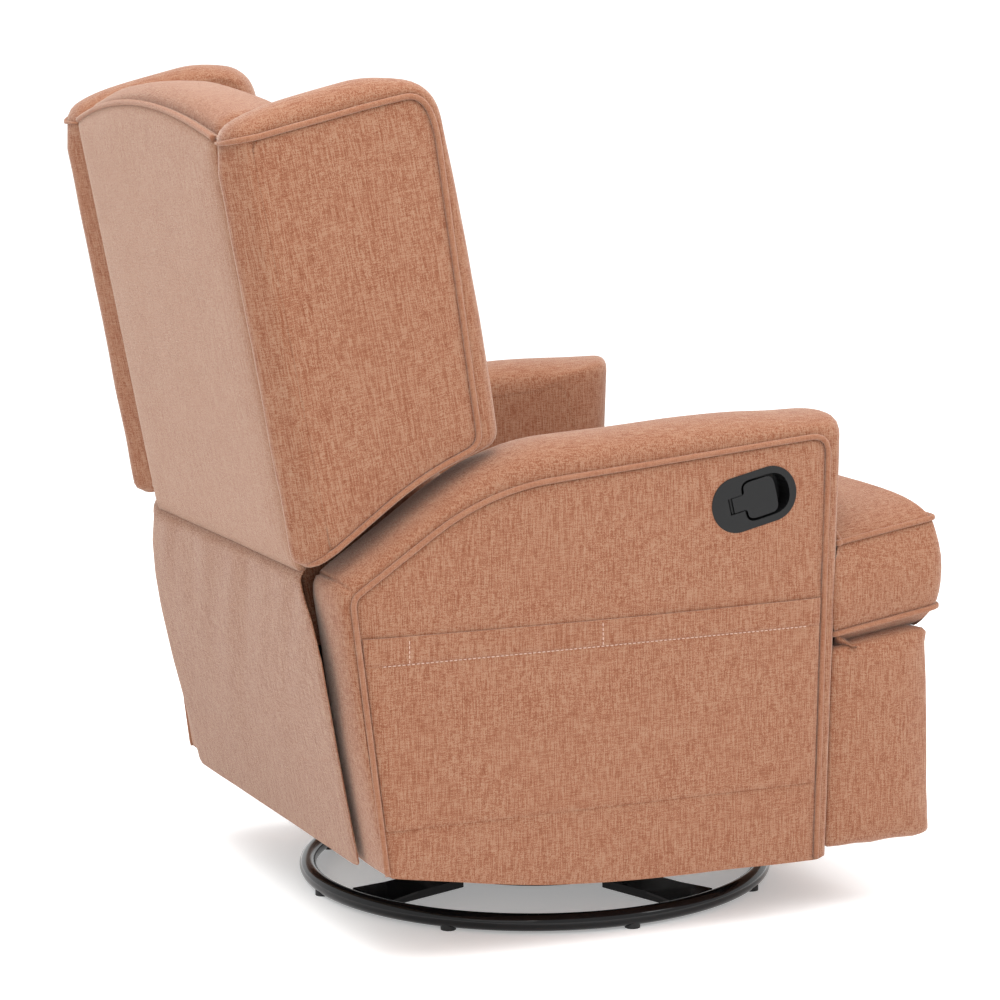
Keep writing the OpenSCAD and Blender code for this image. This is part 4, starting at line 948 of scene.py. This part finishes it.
class RECLINER_OT_back_cushion(bpy.types.Operator):
    """Back cushion between the wings, with its top band over the outer back"""
    bl_idname = "recliner.back_cushion"
    bl_label = "Back cushion"

    def ring(self, inset, up):
        """One ring round the cushion, drawn in by inset and its top raised by up."""
        half = 277.0 - inset
        low_half = 259.6 - inset / 2
        corners = [
            (-low_half, inset / 2 - CUSHION_FOOT), (low_half, inset / 2 - CUSHION_FOOT), (low_half, 110), (half, 130),
            (half, 525 + up), (half * 0.55, 548 + up), (0, BACK_TOP + up), (-half * 0.55, 548 + up),
            (-half, 525 + up), (-half, 130), (-low_half, 110),
        ]
        return rounded(corners, [24, 24, 20, 20, 24, 60, 60, 60, 24, 20, 20], 8, 14)

    def at_depth(self, ring, share):
        """The ring set at a share of the cushion's depth."""
        depth = -CUSHION_REAR - share * (back_depth(ring[:, 1]) - CUSHION_REAR)
        return np.column_stack([ring[:, 0], depth, ring[:, 1]])

    def execute(self, context):
        cover = context.scene.recliner_cover
        shape = [
            (8, -2, 0.0), (3, 9, 0.02), (1, 15, 0.08), (0, 19.5, 0.18), (0, 19, 0.3), (0, 16, 0.44), (1.5, 11, 0.6),
            (4, 4, 0.75), (9, -4, 0.87), (16, -12, 0.945), (26, -21, 0.98),
        ]
        rings = evenly([self.ring(inset, up) for inset, up, _ in shape], 9.0)
        rear, front = rings[0], rings[-1]
        rear_hub, hub, count = rear.mean(axis=0), front.mean(axis=0), len(front)
        behind = [self.at_depth(rear_hub + (rear - rear_hub) * s, 0.0) for s in (0.25, 0.5, 0.75, 0.9)]
        rows = behind + [self.at_depth(pts, share) for pts, (_, _, share) in zip(rings, shape)]
        rows += [self.at_depth(hub + (front - hub) * s, 0.98 + 0.02 * (1 - s ** 4))
                 for s in np.linspace(0.93, 0.07, 18)]
        places, faces = closed_skin(rows)
        places[:, 1] -= 15 * progress(places[:, 2], -40, -100) * progress(places[:, 1], -100, -160)
        held = np.zeros(len(places))
        sewn = (len(behind) + 4) * count
        held[:sewn] = 1.0
        held[sewn:sewn + 3 * count] = np.repeat([0.97, 0.93, 0.85], count)
        held[len(rows) * count] = 1.0
        held[(places[:, 2] < 105) & (places[:, 1] > -150)] = 1.0
        part = smooth_part("back_cushion_cover", leaning((places, faces)), None, "leaning cloth")
        plump(part, held, cover.pressure, 0.02)
        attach(part, "backrest")
        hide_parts("back_cushion")
        return {"FINISHED"}


# Seat

SEAT_CORNERS = np.array([(-371, -412), (371, -412), (371, -249), (346, -264), (260.4, -266), (260.4, 188),
                         (-260.4, 188), (-260.4, -266), (-346, -264), (-371, -249)], float)
SEAT_ROUNDING = [20, 20, 5, 8, 6, 12, 12, 6, 8, 5]
SEAT_HUB = np.array([0.0, -296.0])
SEAT_BOX, SEAT_UNDER = 114.0, -22.0


class RECLINER_OT_seat(bpy.types.Operator):
    """T seat cushion: crowned top, boxed sides and a piping round both seams"""
    bl_idname = "recliner.seat"
    bl_label = "Seat cushion"

    def execute(self, context):
        cover = context.scene.recliner_cover
        face = evenly([rounded(SEAT_CORNERS, SEAT_ROUNDING)], 8.0)[0]
        into = inward(face)
        rows, sewn = [], []

        def add(pts, height, held):
            rows.append(np.column_stack([pts, np.broadcast_to(height, (len(pts),))]))
            sewn.append(held)

        low = face + 4.0 * into
        for share in (0.12, 0.3, 0.5):
            add(SEAT_HUB + (low - SEAT_HUB) * share, SEAT_UNDER, True)
        ear = progress(np.abs(face[:, 0]), 300, 350)
        fore = progress(face[:, 1], -240, -247) * np.maximum(ear, progress(face[:, 1], -300, -360))
        belly = [(26, -23), (22, -22), (16, -18), (11, -13), (5.5, -7.5), (1.5, -2.5)]
        for inset, drop in belly:
            sunk = fore * drop + (1 - fore) * np.maximum(drop, -0.5)
            add(low + (1.0 + inset * fore + 2 * (1 - fore))[:, None] * into, sunk, True)
        profile = [(0.03, 3.6), (0.07, 1.6), (0.16, -1.2), (0.28, -3.2), (0.42, -4.0), (0.56, -3.0), (0.7, 0.0),
                   (0.83, 4.0), (0.93, 7.4), (0.975, 9.6)]
        for share, inset in profile:
            add(face + inset * into, SEAT_BOX * share, share > 0.95 or share < 0.05)
        top = face + 11.5 * into
        add(top, SEAT_BOX, True)
        for s in np.concatenate([[0.985, 0.965, 0.94, 0.91, 0.87], np.linspace(0.82, 0.06, 17)]):
            d = 1 - s
            rise = 42.0 * (1 - s ** 5.0) + 5.0 * (1 - math.exp(-d / 0.03)) * s ** 3
            add(SEAT_HUB + (top - SEAT_HUB) * s, SEAT_BOX + rise, False)
        count = len(face)
        flat, faces = closed_skin(rows, np.append(SEAT_HUB, SEAT_UNDER), np.append(SEAT_HUB, SEAT_BOX + 40.0))
        held = np.append(np.repeat(sewn, count), [0, 0]).astype(float)
        free = held < 0.5
        free[-2] = False
        for firm in ((flat[:, 1] > -262) & (np.abs(flat[:, 0]) > 250), flat[:, 1] > 150):
            held[firm] = np.maximum(held[firm], 0.92)
        places = on_seat_slope(flat)
        places[free, 2] += 1.2 * waves(places, 70, 41)[free]
        part = smooth_part("seat_cushion_cover", (places, faces), None, "side cloth")
        plump(part, held, cover.pressure * 0.6, 0.007)
        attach(part, "chair")
        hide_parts("seat_cushion")
        radius = cover.welt_radius * 1000
        lines = [
            on_seat_slope(np.column_stack([low - 1.5 * into, np.full(count, -0.5)])),
            on_seat_slope(np.column_stack([top - 2.5 * into, np.full(count, SEAT_BOX + 1.0)])),
        ]
        pieces = [cord_skin(p, radius, True, CORD_SIDES) for p in lines]
        heights = np.linspace(2, SEAT_BOX - 3, 12)
        bulge = np.interp(heights / SEAT_BOX, [share for share, _ in profile], [inset for _, inset in profile])
        for side in (-1, 1):
            seam = np.column_stack([side * (370.2 - bulge), np.full(len(heights), -258.0), heights])
            pieces.append(cord_skin(on_seat_slope(seam), 1.0, False, 6))
        smooth_part("seat_piping", gathered(pieces), "chair", "welt cloth")
        return {"FINISHED"}


# Leg rest

class RECLINER_OT_leg_rest(bpy.types.Operator):
    """Leg rest: a soft-edged pad round the leg rest's board"""
    bl_idname = "recliner.leg_rest"
    bl_label = "Leg rest"

    def execute(self, context):
        cover = context.scene.recliner_cover
        half, low, high, back, front = 371.5, 90.0, 352.0, -262.0, -399.0
        corners = [(-half, low), (half, low), (half, high), (-half, high)]
        face = evenly([rounded(corners, [11, 11, 9, 9])], 8.0)[0]
        into = inward(face)
        hub = face.mean(axis=0)
        depth = front - back
        rows, sewn = [], []

        def add(pts, reach, held):
            rows.append(np.column_stack([pts[:, 0], np.broadcast_to(reach, (len(pts),)), pts[:, 1]]))
            sewn.append(held)

        for s in (0.1, 0.3, 0.5, 0.7, 0.85, 0.95):
            add(hub + (face + 12 * into - hub) * s, back, True)
        side = progress(np.abs(face[:, 0]), 340, 365)
        shape = [(11, 0.0, 0), (9, 0.0, 13), (4, 0.0, 16), (0.5, 0.02, 13.5), (0, 0.08, 6), (0, 0.2, 0), (0, 0.36, 0),
                 (0, 0.52, 0), (0, 0.68, 0), (0, 0.82, 0), (0.6, 0.91, 0), (2.4, 0.957, 0), (5.5, 0.983, 0),
                 (10, 0.997, 0)]
        for inset, share, skirt in shape:
            reach = back + depth * share + skirt * side * np.interp(face[:, 1], [low, high], [1.25, 0.75])
            add(face + inset * into, reach, share < 0.1)
        lid = face + 10 * into
        for s in np.linspace(0.96, 0.06, 16):
            add(hub + (lid - hub) * s, back + depth * (0.997 + 0.02 * (1 - s ** 4)), False)
        places, faces = closed_skin(rows)
        held = np.append(np.repeat(sewn, len(face)), [1, 0]).astype(float)
        free = held < 0.5
        wave = waves(places, 85, 51) + 0.5 * waves(places, 32, 52)
        places[free, 1] -= 0.9 * wave[free]
        places[:, 2] += 0.135 * (back - places[:, 1]) * progress(places[:, 2], 250, 350) ** 1.5
        places[free, 1] += np.interp(places[free, 2], [90, 230, 352], [-1.5, 0, 5.5])
        low_edge = np.exp(-np.maximum(places[:, 2] - low, 0) / 10)
        places[:, 2] += 2.2 * low_edge * waves(places * [1, 1, 0], 16, 54)
        part = smooth_part("leg_rest_cover", (places, faces), None, "side cloth")
        plump(part, held, cover.pressure * 0.5, 0.004)
        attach(part, "leg_rest")
        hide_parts("leg_rest_pad")
        return {"FINISHED"}


# Base, handle and the parts inside

RING_RADIUS, RING_HEIGHT, RING_TUBE = 307, 14.8, 11.4


def soften_edges(node, width):
    """Rounds those edges of a CAD node whose faces are joined, for the light to catch."""
    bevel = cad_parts[node].modifiers.new("Edges", "BEVEL")
    bevel.width = width
    bevel.segments = 2
    bevel.limit_method = "ANGLE"
    bevel.angle_limit = math.radians(40)
    bevel.harden_normals = True


def paint(finish_name, *nodes):
    """Gives CAD nodes a finish."""
    for node in nodes:
        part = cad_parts[node]
        if not part.material_slots:
            part.data.materials.append(finish(finish_name))
        for slot in part.material_slots:
            slot.material = finish(finish_name)


class RECLINER_OT_base(bpy.types.Operator):
    """Base: the glossy ring, its pressed cross, the floor glides and the swivel bearing"""
    bl_idname = "recliner.base"
    bl_label = "Swivel base"

    def execute(self, context):
        steel = context.scene.recliner_hardware
        turn = np.linspace(0, 2 * math.pi, steel.ring_steps, endpoint=False)
        middle = [RING_RADIUS * np.cos(turn), RING_RADIUS * np.sin(turn), np.full(len(turn), RING_HEIGHT)]
        tube = cord_skin(np.column_stack(middle), RING_TUBE, True, 32)
        ring = smooth_part("ring_tube", tube, "base", "ring steel")
        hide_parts("base_ring")
        paint("ring steel", "base_cross")
        soften_edges("base_cross", steel.edge_width)
        paint("glide plastic", "floor_glides")
        paint("bare steel", "swivel_kingpin", "lower_race", "race_rivets", "swivel_balls", "upper_race")
        return {"FINISHED"}


class RECLINER_OT_handle(bpy.types.Operator):
    """Release handle: the bezel, the pull lever in its well and the lever's pin"""
    bl_idname = "recliner.handle"
    bl_label = "Release handle"

    def execute(self, context):
        paint("handle plastic", "handle_bezel", "pull_lever")
        paint("bare steel", "lever_pin")
        paint("cable plastic", "release_cable")
        return {"FINISHED"}


class RECLINER_OT_inside(bpy.types.Operator):
    """Finishes of the glide, the mechanism and the wooden frame inside the cover"""
    bl_idname = "recliner.inside"
    bl_label = "Mechanism and frame"

    def execute(self, context):
        paint("black steel", "swivel_plate", "glide_bracket_left", "glide_bracket_right", "front_glide_links",
              "rear_glide_links", "glide_rail_left", "glide_rail_right", "cross_beams", "mechanism_plate_left",
              "mechanism_plate_right", "thigh_links", "thigh_tube", "shin_links", "leg_rest_brackets",
              "back_brackets", "spring_clips", "latch_pawl")
        paint("bare steel", "upper_glide_pins", "lower_glide_pins", "mechanism_rivets", "link_rivets", "arm_bolts",
              "seat_springs")
        paint("plywood", "arm_inner_panel_left", "arm_inner_panel_right", "arm_outer_panel_left",
              "arm_outer_panel_right", "leg_rest_board")
        paint("timber", "arm_posts_left", "arm_posts_right", "seat_front_rail", "seat_rear_rail", "rear_rail",
              "back_posts", "back_rails")
        paint("deck felt", "seat_deck", "back_webbing")
        return {"FINISHED"}


# Stage

def look_frame(heading, pitch, roll):
    """Right, up and look directions of the camera."""
    look = Vector((math.sin(heading) * math.cos(pitch), math.cos(heading) * math.cos(pitch), -math.sin(pitch)))
    right = look.cross(Vector((0, 0, 1))).normalized()
    up = right.cross(look)
    turned = right * math.cos(roll) + up * math.sin(roll)
    return turned, up * math.cos(roll) - right * math.sin(roll), look


def soft_light(name, place, aim, size, power):
    """A rectangular area light, aimed."""
    lamp = bpy.data.lights.new(name, "AREA")
    lamp.shape = "RECTANGLE"
    lamp.size, lamp.size_y = size
    lamp.energy = power
    light = bpy.data.objects.new(name, lamp)
    bpy.context.scene.collection.objects.link(light)
    light.location = place
    light.rotation_euler = (aim - place).to_track_quat("-Z", "Y").to_euler()


class RECLINER_OT_stage(bpy.types.Operator):
    """Stage: the camera, a pale floor, soft lights and the bright room round it"""
    bl_idname = "recliner.stage"
    bl_label = "Camera, floor and lights"

    def execute(self, context):
        scene = context.scene
        s = scene.recliner_stage
        lens = bpy.data.cameras.new("camera")
        lens.lens = s.lens
        lens.sensor_width = 36.0
        lens.sensor_fit = "HORIZONTAL"
        lens.clip_end = 500.0
        camera = bpy.data.objects.new("camera", lens)
        scene.collection.objects.link(camera)
        right, up, look = look_frame(s.heading, s.pitch, s.roll)
        turn = Matrix((right, up, -look)).transposed().to_4x4()
        camera.matrix_world = Matrix.Translation(Vector(s.eye) + Vector((0, SWIVEL_Y, 0))) @ turn
        scene.camera = camera
        mesh = bpy.data.meshes.new("floor")
        h = s.floor_half
        mesh.from_pydata([(-h, -h, 0), (h, -h, 0), (h, h, 0), (-h, h, 0)], [], [(0, 1, 2, 3)])
        floor = bpy.data.objects.new("floor", mesh)
        scene.collection.objects.link(floor)
        r = Recipe("studio_floor")
        mottle = r.noise(r.place, "Object", 3.0, 2.0, 0.5)
        r.colours(mottle, [(0.3, (0.9, 0.9, 0.9)), (0.7, (0.92, 0.92, 0.92))])
        mesh.materials.append(r.finished({"Roughness": 0.7, "Specular IOR Level": 0.1,
                                          "Emission Color": (1.0, 1.0, 1.0, 1.0), "Emission Strength": s.floor_glow}))
        centre = Vector((0, SWIVEL_Y, 0.5))
        lamps = [
            ("overhead", (-0.6, 0.6, 3.2), (0, 0, 0), (3.6, 3.6), s.key_power),
            ("behind_camera", (-3.4, 2.9, 1.9), (0, 0, 0.1), (2.6, 2.6), s.fill_power),
            ("over_seat", (-2.2, -2.4, 2.3), (0.2, -0.1, 0), (1.8, 1.8), s.front_power),
            ("strip", (-1.9, 0.9, 2.4), (0, 0, -0.5), (0.08, 3.0), s.strip_power),
        ]
        for name, place, aim, size, power in lamps:
            soft_light(name, centre + Vector(place), centre + Vector(aim), size, power)
        world = bpy.data.worlds.new("room")
        world.use_nodes = True
        sky = world.node_tree.nodes["Background"]
        sky.inputs["Color"].default_value = (1.0, 1.0, 1.0, 1.0)
        sky.inputs["Strength"].default_value = s.sky
        scene.world = world
        scene.view_settings.view_transform = "Standard"
        return {"FINISHED"}


STEPS = [
    RECLINER_OT_stage, RECLINER_OT_base, RECLINER_OT_inside, RECLINER_OT_arms, RECLINER_OT_pockets,
    RECLINER_OT_handle, RECLINER_OT_wings, RECLINER_OT_outer_back, RECLINER_OT_back_cushion, RECLINER_OT_seat,
    RECLINER_OT_leg_rest,
]


class RECLINER_PT_parts(bpy.types.Panel):
    """Lists the recliner's parts and their settings"""
    bl_idname = "RECLINER_PT_parts"
    bl_label = "Swivel glider recliner"
    bl_space_type = "VIEW_3D"
    bl_region_type = "UI"
    bl_category = "Recliner"

    def draw(self, context):
        scene = context.scene
        for step in STEPS:
            self.layout.operator(step.bl_idname)
        for group in (scene.recliner_cover, scene.recliner_hardware, scene.recliner_stage):
            box = self.layout.box()
            for key in group.__annotations__:
                box.prop(group, key)


CLASSES = [CoverSettings, HardwareSettings, StageSettings, *STEPS, RECLINER_PT_parts]


def register():
    for item in CLASSES:
        bpy.utils.register_class(item)
    bpy.types.Scene.recliner_cover = PointerProperty(type=CoverSettings)
    bpy.types.Scene.recliner_hardware = PointerProperty(type=HardwareSettings)
    bpy.types.Scene.recliner_stage = PointerProperty(type=StageSettings)


def unregister():
    del bpy.types.Scene.recliner_stage
    del bpy.types.Scene.recliner_hardware
    del bpy.types.Scene.recliner_cover
    for item in reversed(CLASSES):
        bpy.utils.unregister_class(item)


def main():
    register()
    for step in STEPS:
        group, name = step.bl_idname.split(".")
        if getattr(getattr(bpy.ops, group), name)() != {"FINISHED"}:
            raise RuntimeError(f"{step.bl_label} did not finish")


if __name__ == "__main__":
    main()
